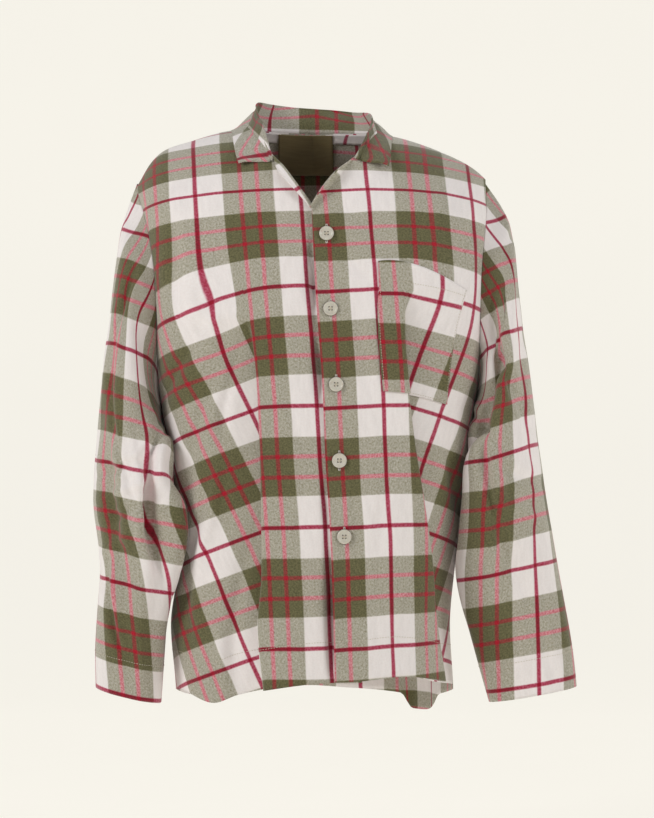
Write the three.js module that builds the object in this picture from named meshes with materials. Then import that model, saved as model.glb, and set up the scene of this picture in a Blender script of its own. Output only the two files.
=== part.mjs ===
// A plaid flannel pajama top, filled out as when worn: hollow, open at neck, cuffs and hem.
// Millimetres, +Z up. The front faces -Y and the wearer's left side is at +X. The origin is
// the middle of the shoulders, level with the points where the shoulder seams meet the neck.
import * as THREE from 'three';

// ---------------------------------------------------------------- driving dimensions
const WALL = 1.6;               // cloth wall, seam allowances included
const SEAM_GAP = 0.3;           // clear space between two pieces at a seam
const ARMHOLE_GAP = 0.55;       // the sleeve's end stands this far off the body's side
const LAY_GAP = 0.45;           // clear space between a panel and what is sewn on it
const POCKET_GAP = 0.65;        // and below the pocket, which goes into a tuck

const NECK_HALF = 85;           // shoulder point at the neck, from the middle
const SHOULDER_ROLL = 100;      // height over which the shoulder rounds into the front
const V_DEPTH = 100;            // depth of the front neck opening
const BACK_NECK_Z = 11;         // height of the neck seam at the middle back
const ARMHOLE_TOP_Z = -60;
const UNDERARM_Z = -345;
const ARMHOLE_CUT = { front: 58, back: 66 };   // depth scooped out of each panel's side

const OVERLAP = 34;             // how far the under front passes below the top front
const UNDER_STEP = 4.2;         // the under front lies this far inside the top front
const EDGE_TO_BUTTON = 17;

const COLUMNS = { centre: 8, turn: 3, leg: 1, side: 10 };
const FRONT_ROWS = 22;
const BACK_COLUMNS = 36;
const BACK_ROWS = 20;
const ROW_EASE = 1.4;           // rows lie closer together towards the shoulder

// ---------------------------------------------------------------- tables
// Each torso row is one level: half width, middle, depth of the side seam, the front and the
// back, and how square the section is (2 is an ellipse).
const TORSO = table(['z', 'half', 'middle', 'seam', 'front', 'back', 'square'], [
  [60, 224, -2, 2, -92, 84, 2.2],
  [-62, 223, -2, 0, -106, 98, 2.35],
  [-110, 220, 4, -2, -118, 106, 2.45],
  [-205, 214, 7, -4, -134, 108, 2.6],
  [-290, 206, 7, -4, -141, 100, 2.6],
  [-345, 200, 7, -4, -144, 96, 2.6],
  [-430, 189, 7, -6, -146, 94, 2.5],
  [-552, 177, 4, -8, -148, 98, 2.4],
  [-620, 178, -3, -8, -149, 103, 2.4],
  [-700, 177, 2, -8, -150, 110, 2.4],
  [-780, 177, 3, -8, -151, 118, 2.4],
]);

// The line of the shoulder seams seen from the front; inside the neck it only runs on.
const SHOULDER = table(['out', 'right', 'left'], [
  [0, 44, 44], [50, 26, 21], [85, 12, 5], [120, 5, -4], [155, -5.5, -16], [189, -17, -31], [207, -33, -42],
  [224, -61, -58], [245, -92, -88],
]);

// The free edge of the top front, which closes over the other one.
const PLACKET = table(['z', 'x'], [
  [60, -8], [-100, -1], [-205, 4], [-315, 12], [-410, 16], [-505, 22], [-700, 28], [-780, 30],
]);

// Hem heights by the share of the way from the middle to the side seam.
const HEM = table(['share', 'right', 'left', 'back'], [
  [-0.2, -683, -682, -714], [0, -684, -682, -714], [0.22, -692, -681, -716],
  [0.42, -702, -677, -721], [0.57, -713, -680, -722], [0.75, -703, -688, -718], [0.88, -702, -694, -711],
  [1, -705, -699, -705],
]);

// One long tuck in each front: the middle of the front lies over the side. Each row gives
// the place of the folded edge, outwards from the middle of the section.
const TUCKS = {
  right: {
    apex: -236, take: 0.3, most: 112, radius: [3.6, 7.4], spread: 34,
    edge: table(['z', 'out'], [[40, 104], [-120, 96], [-241, 84], [-315, 76], [-480, 70], [-700, 63], [-780, 60]]),
  },
  left: {
    apex: -200, take: 0.24, most: 100, radius: [3.4, 5.2], spread: 40,
    edge: table(['z', 'out'], [[40, 112], [-120, 107], [-200, 106], [-270, 107], [-392, 121], [-459, 133],
      [-528, 145], [-579, 153], [-624, 162], [-700, 168], [-780, 170]]),
  },
};

// ---------------------------------------------------------------- small helpers
function table(columns, rows) {
  return rows.map((row) => Object.fromEntries(columns.map((name, i) => [name, row[i]])));
}

const clamp01 = (t) => Math.min(1, Math.max(0, t));
const lerp = (a, b, t) => a + (b - a) * t;
const smooth = (t) => clamp01(t) ** 2 * (3 - 2 * clamp01(t));
const bump = (t, at, width) => Math.exp(-(((t - at) / width) ** 2));

// A smooth curve through one column of a table, against its first column.
function read(rows, key, at, by = Object.keys(rows[0])[0]) {
  const rising = rows[rows.length - 1][by] > rows[0][by];
  const sign = rising ? 1 : -1;
  let i = 0;
  while (i < rows.length - 2 && sign * (at - rows[i + 1][by]) > 0) i += 1;
  const row = (k) => rows[Math.min(rows.length - 1, Math.max(0, k))];
  const [a, b, c, d] = [row(i - 1), row(i), row(i + 1), row(i + 2)];
  const span = c[by] - b[by];
  const t = clamp01((at - b[by]) / span);
  const slopeB = ((c[key] - a[key]) / (c[by] - a[by] || 1)) * span;
  const slopeC = ((d[key] - b[key]) / (d[by] - b[by] || 1)) * span;
  const t2 = t * t;
  const t3 = t2 * t;
  return (2 * t3 - 3 * t2 + 1) * b[key] + (t3 - 2 * t2 + t) * slopeB
    + (3 * t2 - 2 * t3) * c[key] + (t3 - t2) * slopeC;
}

const readAll = (rows, at) => Object.fromEntries(Object.keys(rows[0]).map((key) => [key, read(rows, key, at)]));

// ---------------------------------------------------------------- the filled-out torso
const ARC_STEPS = 48;
const sections = new Map();

// A quarter of one torso section, as lengths along it from the middle to the side seam.
function section(face, z) {
  const id = `${face}:${z.toFixed(4)}`;
  if (sections.has(id)) return sections.get(id);
  const row = readAll(TORSO, z);
  const depth = face < 0 ? row.seam - row.front : row.back - row.seam;
  const power = 2 / row.square;
  const points = [{ x: 0, y: depth, at: 0 }];
  for (let i = 1; i <= ARC_STEPS; i += 1) {
    const angle = (Math.PI / 2) * (i / ARC_STEPS);
    const x = row.half * Math.sin(angle) ** power;
    const y = depth * Math.max(0, Math.cos(angle)) ** power;
    const last = points[i - 1];
    points.push({ x, y, at: last.at + Math.hypot(x - last.x, y - last.y) });
  }
  const made = { row, points, length: points[ARC_STEPS].at };
  sections.set(id, made);
  return made;
}

function along(quarter, length) {
  const { points } = quarter;
  const at = Math.min(Math.abs(length), quarter.length);
  let i = 1;
  while (i < ARC_STEPS && points[i].at < at) i += 1;
  const t = (at - points[i - 1].at) / (points[i].at - points[i - 1].at);
  return {
    x: Math.sign(length || 1) * lerp(points[i - 1].x, points[i].x, t),
    y: lerp(points[i - 1].y, points[i].y, t),
  };
}

function lengthAtX(quarter, x) {
  const { points } = quarter;
  if (x <= 0) return x;
  let i = 1;
  while (i < ARC_STEPS && points[i].x < x) i += 1;
  const t = clamp01((x - points[i - 1].x) / (points[i].x - points[i - 1].x));
  return lerp(points[i - 1].at, points[i].at, t);
}

const roofZ = (x) => read(SHOULDER, x < 0 ? 'right' : 'left', Math.abs(x));

function rollOver(below) {
  const t = clamp01(below / SHOULDER_ROLL);
  return Math.sqrt(1 - (1 - t) ** 2);
}

// The point of the torso at a length from the middle and a height; inset moves it inwards.
function torsoPoint(face, side, length, z, inset = 0) {
  const quarter = section(face, z);
  const here = along(quarter, length);
  const ahead = along(quarter, length + 1);
  const behind = along(quarter, length - 1);
  const tangent = Math.hypot(ahead.x - behind.x, ahead.y - behind.y) || 1;
  const roll = rollOver(roofZ(quarter.row.middle + side * here.x) - z);
  const x = here.x - inset * roll * ((behind.y - ahead.y) / tangent);
  const y = here.y * roll - inset * roll * ((ahead.x - behind.x) / tangent);
  const apart = SEAM_GAP / 2;
  return new THREE.Vector3(quarter.row.middle + side * x, quarter.row.seam + face * (y + apart), z);
}

// Length from the middle to the panel's outer edge: armhole above, side seam below.
function outerLength(face, z) {
  const share = clamp01((ARMHOLE_TOP_Z - z) / (ARMHOLE_TOP_Z - UNDERARM_Z));
  const scoop = Math.sin(Math.PI * share) ** 0.8;
  const cut = face < 0 ? ARMHOLE_CUT.front : ARMHOLE_CUT.back;
  return section(face, z).length - cut * scoop;
}

// ---------------------------------------------------------------- walls from grids of points
// A grid is rows of points; the wall lies between the grid and its points moved inwards.
function gridNormals(grid, loop) {
  const rows = grid.length;
  const columns = grid[0].length;
  const at = (i, j) => grid[i][loop ? (j + columns) % columns : Math.min(columns - 1, Math.max(0, j))];
  return grid.map((row, i) => row.map((_, j) => {
    const across = at(i, j + 1).clone().sub(at(i, j - 1));
    const down = at(Math.min(rows - 1, i + 1), j).clone().sub(at(Math.max(0, i - 1), j));
    return down.cross(across).normalize();
  }));
}

function moved(grid, normals, distance) {
  return grid.map((row, i) => row.map((point, j) => point.clone().addScaledVector(normals[i][j], distance)));
}

function wallGeometry(front, rear, loop = false) {
  const rows = front.length;
  const columns = front[0].length;
  const positions = [];
  [front, rear].forEach((grid) => grid.forEach((row) => row.forEach((p) => positions.push(p.x, p.y, p.z))));
  const index = (layer, i, j) => (layer * rows + i) * columns + (j % columns);
  const faces = [];
  const quad = (a, b, c, d) => faces.push(a, b, c, a, c, d);
  const spans = loop ? columns : columns - 1;
  for (let i = 0; i < rows - 1; i += 1) {
    for (let j = 0; j < spans; j += 1) {
      const next = (j + 1) % columns;
      const falling = front[i][j].distanceTo(front[i + 1][next]);
      const rising = front[i][next].distanceTo(front[i + 1][j]);
      const corners = [[i, j], [i, j + 1], [i + 1, j + 1], [i + 1, j]];
      if (rising < falling) corners.push(corners.shift());
      quad(...corners.map(([row, column]) => index(0, row, column)));
      quad(...[0, 3, 2, 1].map((k) => index(1, ...corners[k])));
    }
  }
  for (let j = 0; j < spans; j += 1) {
    quad(index(0, 0, j), index(1, 0, j), index(1, 0, j + 1), index(0, 0, j + 1));
    quad(index(0, rows - 1, j), index(0, rows - 1, j + 1), index(1, rows - 1, j + 1), index(1, rows - 1, j));
  }
  if (!loop) {
    for (let i = 0; i < rows - 1; i += 1) {
      quad(index(0, i, 0), index(0, i + 1, 0), index(1, i + 1, 0), index(1, i, 0));
      const j = columns - 1;
      quad(index(0, i, j), index(1, i, j), index(1, i + 1, j), index(0, i + 1, j));
    }
  }
  const geometry = new THREE.BufferGeometry();
  geometry.setAttribute('position', new THREE.Float32BufferAttribute(positions, 3));
  geometry.setIndex(faces);
  return turnedOut(geometry);
}

// Faces point out: a closed body of negative volume has its triangles turned over.
function turnedOut(geometry) {
  const p = geometry.getAttribute('position');
  const index = geometry.getIndex().array;
  const [a, b, c] = [new THREE.Vector3(), new THREE.Vector3(), new THREE.Vector3()];
  let volume = 0;
  for (let i = 0; i < index.length; i += 3) {
    a.fromBufferAttribute(p, index[i]);
    b.fromBufferAttribute(p, index[i + 1]);
    c.fromBufferAttribute(p, index[i + 2]);
    volume += a.dot(b.cross(c));
  }
  if (volume < 0) {
    for (let i = 0; i < index.length; i += 3) [index[i + 1], index[i + 2]] = [index[i + 2], index[i + 1]];
  }
  geometry.computeVertexNormals();
  return geometry;
}

// ---------------------------------------------------------------- fronts
const TUCK_POINTS = COLUMNS.turn * 2 + COLUMNS.leg;
const FLAT_TUCK = 8;            // width that the tuck's columns keep where it has run out
const FULL_TURN = Math.PI * 0.985;
const TUCK_LENGTH = 460;

// How far the cloth turns back at a height, and the length of its hidden leg.
function tuckSize(tuck, z) {
  const below = Math.max(0, tuck.apex - z);
  const take = Math.min(tuck.most, tuck.take * below * smooth(below / 60));
  const turn = FULL_TURN * (1 - Math.exp(-below / tuck.spread));
  const radius = lerp(tuck.radius[0], tuck.radius[1], clamp01(below / TUCK_LENGTH));
  const opening = Math.max(0.02, 1 - Math.cos(turn));
  const wanted = (take - 2 * radius * (turn - Math.sin(turn))) / opening;
  const leg = Math.min(Math.max(0, wanted), 1.2 * take) + FLAT_TUCK * (1 - turn / Math.PI) ** 2;
  return { turn, radius, leg, length: 2 * radius * turn + leg };
}

// A point of the Z-shaped path of a tuck: turned in, back along the leg, and turned out.
function tuckPoint({ turn, radius, leg }, length) {
  const inTurn = radius * turn;
  if (length <= inTurn) {
    const angle = length / radius;
    return { out: radius * Math.sin(angle), inset: radius * (1 - Math.cos(angle)) };
  }
  const done = Math.min(leg, length - inTurn);
  const out = radius * Math.sin(turn) + done * Math.cos(turn);
  const inset = radius * (1 - Math.cos(turn)) + done * Math.sin(turn);
  if (length <= inTurn + leg) return { out, inset };
  const angle = turn - (length - inTurn - leg) / radius;
  return {
    out: out + radius * (Math.sin(turn) - Math.sin(angle)),
    inset: inset + radius * (Math.cos(angle) - Math.cos(turn)),
  };
}

function tuckStep(size, k) {
  const inTurn = size.radius * size.turn;
  const even = (size.length * k) / TUCK_POINTS;
  let phased = (inTurn * k) / COLUMNS.turn;
  if (k > COLUMNS.turn) phased = inTurn + (size.leg * (k - COLUMNS.turn)) / COLUMNS.leg;
  const last = k - COLUMNS.turn - COLUMNS.leg;
  if (last > 0) phased = inTurn + size.leg + (inTurn * last) / COLUMNS.turn;
  return lerp(even, phased, size.turn / Math.PI);
}

const UNDER_FADE = 46;          // the under front comes back out over this width

// Where column i of a front lies at a height: its length from the middle, and its inset.
function frontColumn(name, i, z) {
  const side = name === 'left' ? 1 : -1;
  const tuck = TUCKS[name];
  const quarter = section(-1, z);
  const edge = side * (read(PLACKET, 'x', z) - quarter.row.middle);
  const start = side > 0 ? edge : edge - OVERLAP;
  const size = tuckSize(tuck, z);
  const folded = lengthAtX(quarter, read(tuck.edge, 'out', z));
  const bend = folded - size.radius * Math.sin(Math.min(size.turn, Math.PI / 2));
  const end = tuckPoint(size, size.length);
  if (i <= COLUMNS.centre) {
    const length = lerp(start, bend, i / COLUMNS.centre);
    const fromEdge = (length - edge) / UNDER_FADE;
    return { length, inset: side > 0 ? 0 : UNDER_STEP * (1 - smooth(fromEdge)) };
  }
  const k = i - COLUMNS.centre;
  if (k <= TUCK_POINTS) {
    const point = tuckPoint(size, tuckStep(size, k));
    return { length: bend + point.out, inset: point.inset };
  }
  const outer = outerLength(-1, z);
  const length = lerp(bend + end.out, outer, (k - TUCK_POINTS) / COLUMNS.side);
  return { length, inset: end.inset * (1 - smooth((length - folded) / (outer - folded))) };
}

const FRONT_COLUMNS = COLUMNS.centre + TUCK_POINTS + COLUMNS.side;

// The neckline on one side, run on past the middle below the other front.
function neckZ(side, x) {
  const out = side * x;
  return out < NECK_HALF ? lerp(-V_DEPTH, roofZ(side * NECK_HALF), out / NECK_HALF) : roofZ(x);
}
const backNeckZ = (x) => lerp(BACK_NECK_Z, roofZ(Math.sign(x) * NECK_HALF), (x / NECK_HALF) ** 2);

// The height at which a column meets the neckline or the shoulder seam.
function topZ(pointAt, edgeAt) {
  let z = ARMHOLE_TOP_Z;
  for (let i = 0; i < 40; i += 1) z = lerp(z, edgeAt(pointAt(z).x), 0.5);
  return z;
}

function frontGrid(name) {
  const side = name === 'left' ? 1 : -1;
  const place = (i, z) => {
    const { length, inset } = frontColumn(name, i, z);
    return torsoPoint(-1, side, length, z, inset);
  };
  const columns = [];
  for (let i = 0; i <= FRONT_COLUMNS; i += 1) {
    const top = topZ((z) => place(i, z), (x) => neckZ(side, x));
    const low = read(HEM, 'back', 0);
    const share = frontColumn(name, i, low).length / section(-1, low).length;
    const hem = read(HEM, name, share);
    columns.push({ top, hem });
  }
  columns[FRONT_COLUMNS].top = ARMHOLE_TOP_Z;
  const grid = [];
  for (let j = 0; j <= FRONT_ROWS; j += 1) {
    const down = (j / FRONT_ROWS) ** ROW_EASE;
    grid.push(columns.map(({ top, hem }, i) => place(i, lerp(top, hem, down))));
  }
  return side > 0 ? grid : grid.map((row) => row.slice().reverse());
}

// ---------------------------------------------------------------- back
const BACK_FOLDS = table(['x', 'width', 'depth'], [
  [-128, 26, 9], [-70, 30, -8], [-14, 34, 7], [48, 30, -9], [96, 24, 8], [150, 22, -9],
]);
const HEM_FLUTE = { x: 140, width: 19, drop: 20, out: 10 };
const fluteAt = (x) => Math.exp(-(((x - HEM_FLUTE.x) / HEM_FLUTE.width) ** 6));

function backGrid() {
  const low = read(HEM, 'back', 0);
  const place = (share, z) => {
    const length = share * (outerLength(1, z));
    const side = Math.sign(share) || 1;
    const here = torsoPoint(1, side, Math.abs(length), z);
    const down = smooth((-z - 180) / 520);
    const edge = smooth((1 - Math.abs(share)) * 5);
    const folds = BACK_FOLDS.reduce((sum, fold) => sum + fold.depth * bump(here.x, fold.x, fold.width), 0);
    const flute = HEM_FLUTE.out * fluteAt(here.x) * smooth((-z - 600) / 120);
    return torsoPoint(1, side, Math.abs(length), z, -(folds * down + flute) * edge);
  };
  const columns = [];
  for (let i = 0; i <= BACK_COLUMNS; i += 1) {
    const share = (2 * i) / BACK_COLUMNS - 1;
    const top = topZ((z) => place(share, z), (x) => (Math.abs(x) < NECK_HALF ? backNeckZ(x) : roofZ(x)));
    const x = place(share, low).x;
    const hem = read(HEM, 'back', Math.abs(share)) - HEM_FLUTE.drop * fluteAt(x);
    columns.push({ share, top: Math.abs(share) === 1 ? ARMHOLE_TOP_Z : top, hem });
  }
  const grid = [];
  for (let j = 0; j <= BACK_ROWS; j += 1) {
    const down = (j / BACK_ROWS) ** ROW_EASE;
    grid.push(columns.map(({ share, top, hem }) => place(share, lerp(top, hem, down))));
  }
  return grid.map((row) => row.slice().reverse());
}

// Panels end square at their shoulder and side seams, where two walls stand edge to edge.
function squareSeams(grid, normals) {
  const lastColumn = grid[0].length - 1;
  grid.forEach((row, j) => row.forEach((point, i) => {
    const shoulder = j === 0 && Math.abs(point.x) > NECK_HALF - 12;
    const side = (i === 0 || i === lastColumn) && point.z < UNDERARM_Z + 4 && Math.abs(point.x) > NECK_HALF;
    if (shoulder) normals[j][i].set((roofZ(point.x - 1) - roofZ(point.x + 1)) / 2, 0, 1).normalize();
    else if (side) normals[j][i].setY(0).normalize();
  }));
  return normals;
}

function panel(grid) {
  const normals = squareSeams(grid, gridNormals(grid, false));
  return { grid, normals, inner: moved(grid, normals, -WALL) };
}

// ---------------------------------------------------------------- sleeves
// Each sleeve row is one loop, from the armhole to the cuff: its outermost and innermost
// points seen from the front, and how far it reaches forwards and back.
const SLEEVES = {
  right: table(['outX', 'outZ', 'inX', 'inZ', 'front', 'back', 'lean'], [
    [-225, -60, -193.5, -345, -56, 62, 0],
    [-236, -90, -194, -348, -62, 66, 0],
    [-245, -119, -193.5, -351, -67, 70, 0],
    [-251, -159, -192.8, -356, -72, 75, 0],
    [-257, -210, -192, -362, -77, 80, -3],
    [-262, -262, -191, -370, -81, 84, -8],
    [-267, -313, -189.5, -381, -84, 84, -14],
    [-272, -362, -187.2, -398, -86, 80, -22],
    [-277, -404, -184.2, -421, -86, 75, -30],
    [-279, -440, -181.8, -448, -85, 70, -34],
    [-279, -472, -179.9, -475, -84, 64, -34],
    [-275, -503, -178.2, -501, -84, 57, -32],
    [-271, -531, -176.5, -529, -85, 50, -28],
    [-270, -562, -178, -559, -86, 42, -22],
    [-273, -607, -185, -604, -86, 28, -12],
    [-275, -652, -189, -658, -86, 15, -4],
    [-274, -698, -193, -718, -86, 5, 0],
  ]),
  left: table(['outX', 'outZ', 'inX', 'inZ', 'front', 'back', 'lean'], [
    [221, -60, 208, -345, -56, 62, 0],
    [240, -88, 208.5, -349, -62, 66, 0],
    [252, -114, 208, -352, -67, 70, 0],
    [258, -150, 207.2, -356, -72, 74, 0],
    [263, -200, 206.2, -362, -76, 78, -3],
    [269, -250, 205, -370, -79, 80, -8],
    [276, -300, 203.7, -382, -80, 79, -14],
    [282, -350, 201.2, -400, -80, 75, -22],
    [288, -396, 197.7, -425, -79, 69, -28],
    [294, -438, 194, -453, -78, 62, -30],
    [300, -478, 190.8, -483, -76, 54, -28],
    [306, -514, 187.6, -513, -75, 46, -24],
    [312, -550, 184, -548, -74, 38, -16],
    [319, -590, 190.5, -588, -73, 28, -8],
    [326, -630, 202, -630, -71, 16, 0],
    [331, -666, 214, -675, -69, 5, 0],
    [334, -698, 226, -718, -67, -2, 0],
  ]),
};
const LOOP_POINTS = 28;
const SLEEVE_ROWS = 22;
const CAP_ROWS = 3.2;           // rows over which the armhole's shape gives way to the loops
const ARM_SQUARE = 2.3;
const SLEEVE_LAP = { right: 22, left: -22 };    // the sleeve's front laps over the body's side
const [LAP_ROW, LAP_LONG, LAP_TURN, LAP_WIDE] = [10, 4, 0.4, 0.06];

// The largest folds: where along and around the sleeve, how much further round it goes with
// each row, how far it runs, how wide and how deep it is.
const SLEEVE_FOLDS = {
  right: table(['row', 'turn', 'slant', 'long', 'wide', 'depth'], [
    [9.2, 0.17, 0, 2.2, 0.035, -9], [7.4, 0.36, -0.01, 1.2, 0.05, 9], [8.4, 0.4, 0.02, 0.9, 0.035, -13],
    [10.6, 0.33, 0.004, 2.4, 0.026, -14], [10.6, 0.4, 0.004, 2.4, 0.04, 9], [11.8, 0.2, 0.01, 2.6, 0.03, -6],
    [6.0, 0.22, 0, 2.6, 0.05, 6], [8.8, 0.62, 0, 1.4, 0.05, -8], [10.6, 0.76, 0, 1.6, 0.05, 7],
  ]),
  left: table(['row', 'turn', 'slant', 'long', 'wide', 'depth'], [
    [5.3, 0.325, 0.05, 2.2, 0.035, -13], [5.6, 0.26, 0.05, 2.6, 0.045, 6], [10, 0.42, 0, 2.2, 0.06, -15],
    [10.4, 0.31, 0.004, 2.6, 0.045, 7], [12.6, 0.22, 0.01, 1.8, 0.04, -5], [8.6, 0.64, 0, 1.6, 0.05, -8],
    [10.4, 0.78, 0, 1.8, 0.05, 7],
  ]),
};

function armholeLoop(name, turn) {
  const side = name === 'left' ? 1 : -1;
  const face = turn < 0.5 ? -1 : 1;
  const z = lerp(ARMHOLE_TOP_Z, UNDERARM_Z, (1 - Math.cos(2 * Math.PI * turn)) / 2);
  const point = torsoPoint(face, side, outerLength(face, z), z);
  point.x += side * ARMHOLE_GAP;
  return point;
}

function sleeveLoop(name, row, turn) {
  const at = readAll(SLEEVES[name].map((entry, i) => ({ row: i, ...entry })), row);
  const angle = 2 * Math.PI * turn;
  const squared = (value) => Math.sign(value) * Math.abs(value) ** (2 / ARM_SQUARE);
  const out = (1 + squared(Math.cos(angle))) / 2;
  const deep = squared(Math.sin(angle));
  const middle = (at.front + at.back) / 2;
  const y = lerp(middle, deep > 0 ? at.front : at.back, Math.abs(deep)) + at.lean * (1 - out);
  const lap = SLEEVE_LAP[name] * bump(row, LAP_ROW, LAP_LONG) * bump(turn, LAP_TURN, LAP_WIDE);
  return new THREE.Vector3(lerp(at.inX, at.outX, out) + lap, y, lerp(at.inZ, at.outZ, out));
}

// The first loop is the armhole itself, and its shape gives way to the table's loops.
function sleevePoint(name, row, turn) {
  const loop = sleeveLoop(name, row, turn);
  if (row >= CAP_ROWS) return loop;
  const carried = armholeLoop(name, turn).add(loop).sub(sleeveLoop(name, 0, turn));
  return carried.lerp(loop, smooth(row / CAP_ROWS));
}

function sleeveGrid(name) {
  const last = SLEEVES[name].length - 1;
  const grid = [];
  for (let i = 0; i <= SLEEVE_ROWS; i += 1) {
    const row = (last * i) / SLEEVE_ROWS;
    const ring = [];
    for (let j = 0; j < LOOP_POINTS; j += 1) {
      const turn = j / LOOP_POINTS;
      ring.push(sleevePoint(name, row, turn));
    }
    grid.push(ring);
  }
  const normals = gridNormals(grid, true);
  return grid.map((ring, i) => ring.map((point, j) => {
    const row = (last * i) / SLEEVE_ROWS;
    const depth = SLEEVE_FOLDS[name].reduce((sum, fold) => {
      const around = j / LOOP_POINTS - fold.turn - fold.slant * (row - fold.row);
      return sum + fold.depth * bump(row, fold.row, fold.long) * bump(around, 0, fold.wide);
    }, 0);
    const outwards = name === 'left' ? -1 : 1;
    return point.clone().addScaledVector(normals[i][j], outwards * depth);
  }));
}

// The end at the armhole is square to the body, so its wall stays beside the panels.
function sleeve(name) {
  const grid = sleeveGrid(name);
  const turned = name === 'left' ? -1 : 1;
  const normals = gridNormals(grid, true).map((ring) => ring.map((n) => n.multiplyScalar(turned)));
  normals[0].forEach((n) => n.setX(0).normalize());
  return { grid, inner: moved(grid, normals, -WALL) };
}

// ---------------------------------------------------------------- collar
// One piece: it stands up from the neck seam, rolls over and falls on the shoulders. Each
// row goes along half of it: the share of the neckline from the middle back (0) to the
// front end (1), the top of the roll, and where the fall's free edge ends.
const COLLAR = {
  right: table(['at', 'topX', 'topY', 'topZ', 'edgeX', 'edgeY', 'edgeZ'], [
    [0, 0, 80, 44, 0, 104, 0],
    [0.16, -30, 78, 46, -36, 103, 1],
    [0.32, -56, 64, 48, -72, 86, 3],
    [0.46, -73, 34, 47, -98, 52, 6],
    [0.6, -72, 0, 32, -106, 8, 6],
    [0.74, -65, -34, 10, -102, -34, -4],
    [0.87, -58, -66, -18, -97, -60, -20],
    [1, -50, -93, -42, -92, -71, -30],
  ]),
  left: table(['at', 'topX', 'topY', 'topZ', 'edgeX', 'edgeY', 'edgeZ'], [
    [0, 0, 80, 44, 0, 104, 0],
    [0.16, 30, 79, 42, 36, 104, -1],
    [0.32, 56, 66, 38, 70, 90, -2],
    [0.46, 73, 36, 34, 94, 56, -1],
    [0.6, 77, 2, 24, 102, 8, 0],
    [0.74, 73, -30, 6, 100, -32, -8],
    [0.87, 68, -60, -16, 98, -62, -24],
    [1, 57, -88, -40, 95, -82, -36],
  ]),
};
const COLLAR_COLUMNS = 40;
const COLLAR_ROLL = 3.4;        // radius of the rolled-over top
const COLLAR_CLEAR = 5;         // the fall's edge stands this far off the shoulders
const COLLAR_BOW = 2.8;         // the fall bows out by this much between its roll and its edge
const COLLAR_END_X = 52;        // the collar ends this far from the middle, on the V
const NECK_CLEAR = 0.7;         // the collar's seam stands this far off the neckline
const NECK_CENTRE_Y = -12;      // the collar's wall points away from this middle

// The neckline from the middle back (0) round to where the collar ends (1).
function necklinePoint(side, at) {
  const backShare = 0.5;
  if (at <= backShare) {
    const x = NECK_HALF * Math.sin((Math.PI / 2) * (at / backShare));
    return bodyAt(1, side * x, backNeckZ(side * x));
  }
  const x = lerp(NECK_HALF, COLLAR_END_X, (at - backShare) / (1 - backShare));
  return bodyAt(-1, side * x, neckZ(side, side * x));
}

// The torso's point at a place seen from the front or the back.
function bodyAt(face, x, z, inset = 0) {
  const quarter = section(face, z);
  const out = x - quarter.row.middle;
  return torsoPoint(face, Math.sign(out) || 1, lengthAtX(quarter, Math.abs(out)), z, inset);
}

// The height of the shoulders at a place seen from above.
function shoulderZ(x, y) {
  const face = y < 0 ? -1 : 1;
  let high = roofZ(x) - 0.01;
  let low = high - SHOULDER_ROLL;
  for (let i = 0; i < 24; i += 1) {
    const middle = (high + low) / 2;
    if (Math.abs(bodyAt(face, x, middle).y) < Math.abs(y)) high = middle;
    else low = middle;
  }
  return low;
}

// Moves a point the shorter way out of the shoulders, until it stands clear of them.
function clearOfBody(point, clear) {
  if (point.z >= roofZ(point.x) + clear) return point;
  const face = point.y < 0 ? -1 : 1;
  const rise = shoulderZ(point.x, point.y) + clear - point.z;
  const out = Math.abs(bodyAt(face, point.x, point.z).y) + clear - Math.abs(point.y);
  if (rise <= 0 || out <= 0) return point;
  if (rise < out) point.z += rise;
  else point.y += face * out;
  return point;
}

function collarSection(name, at) {
  const side = name === 'left' ? 1 : -1;
  const row = readAll(COLLAR[name], at);
  const seam = necklinePoint(side, at);
  const top = new THREE.Vector3(row.topX, row.topY, row.topZ);
  const edge = new THREE.Vector3(row.edgeX, row.edgeY, row.edgeZ);
  const inside = new THREE.Vector3(seam.x * 0.95, seam.y * 0.95, seam.z + 4);
  const start = seam.clone().addScaledVector(inside.sub(seam).normalize(), NECK_CLEAR);
  const outwards = edge.clone().sub(top).normalize();
  const up = new THREE.Vector3(0, 0, 1).addScaledVector(outwards, -outwards.z).normalize();
  const away = new THREE.Vector3(edge.x - seam.x, edge.y - seam.y, 0).normalize();
  const lifted = top.clone().addScaledVector(up, -COLLAR_ROLL);
  const points = [start, start.clone().lerp(lifted, 0.5).addScaledVector(away, -2)];
  for (let k = 0; k <= 4; k += 1) {
    const angle = Math.PI * (k / 4);
    points.push(lifted.clone().addScaledVector(away, COLLAR_ROLL * (1 - Math.cos(angle)))
      .add(new THREE.Vector3(0, 0, COLLAR_ROLL * Math.sin(angle))));
  }
  const over = points[points.length - 1];
  const bowed = over.clone().lerp(edge, 0.5).addScaledVector(away, COLLAR_BOW);
  points.push(bowed.add(new THREE.Vector3(0, 0, COLLAR_BOW)), edge);
  points.slice(1).forEach((point) => clearOfBody(point, COLLAR_CLEAR));
  return points;
}

function collarGrid() {
  const sectionsAlong = [];
  for (let i = 0; i <= COLLAR_COLUMNS; i += 1) {
    const at = (2 * i) / COLLAR_COLUMNS - 1;
    sectionsAlong.push(collarSection(at < 0 ? 'right' : 'left', Math.abs(at)));
  }
  return sectionsAlong[0].map((_, row) => sectionsAlong.map((points) => points[row]));
}

// ---------------------------------------------------------------- pieces on the panels
const POCKET = { columns: [6, 22], rows: [8, 13], wall: 1.4, narrows: 0.42 };
const FACING = { columns: [13, 23], rows: [0, 1], wall: 1.0 };
const LABEL = { columns: [16, 21], rows: [0, 3], wall: 0.8 };
const BUTTON = { radius: 9, thick: 2.8, rim: 0.7, firstZ: -132, step: 93, count: 5 };
const BUTTON_SEGMENTS = 20;
const BESIDE_TUCK = COLUMNS.centre + TUCK_POINTS;

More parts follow.
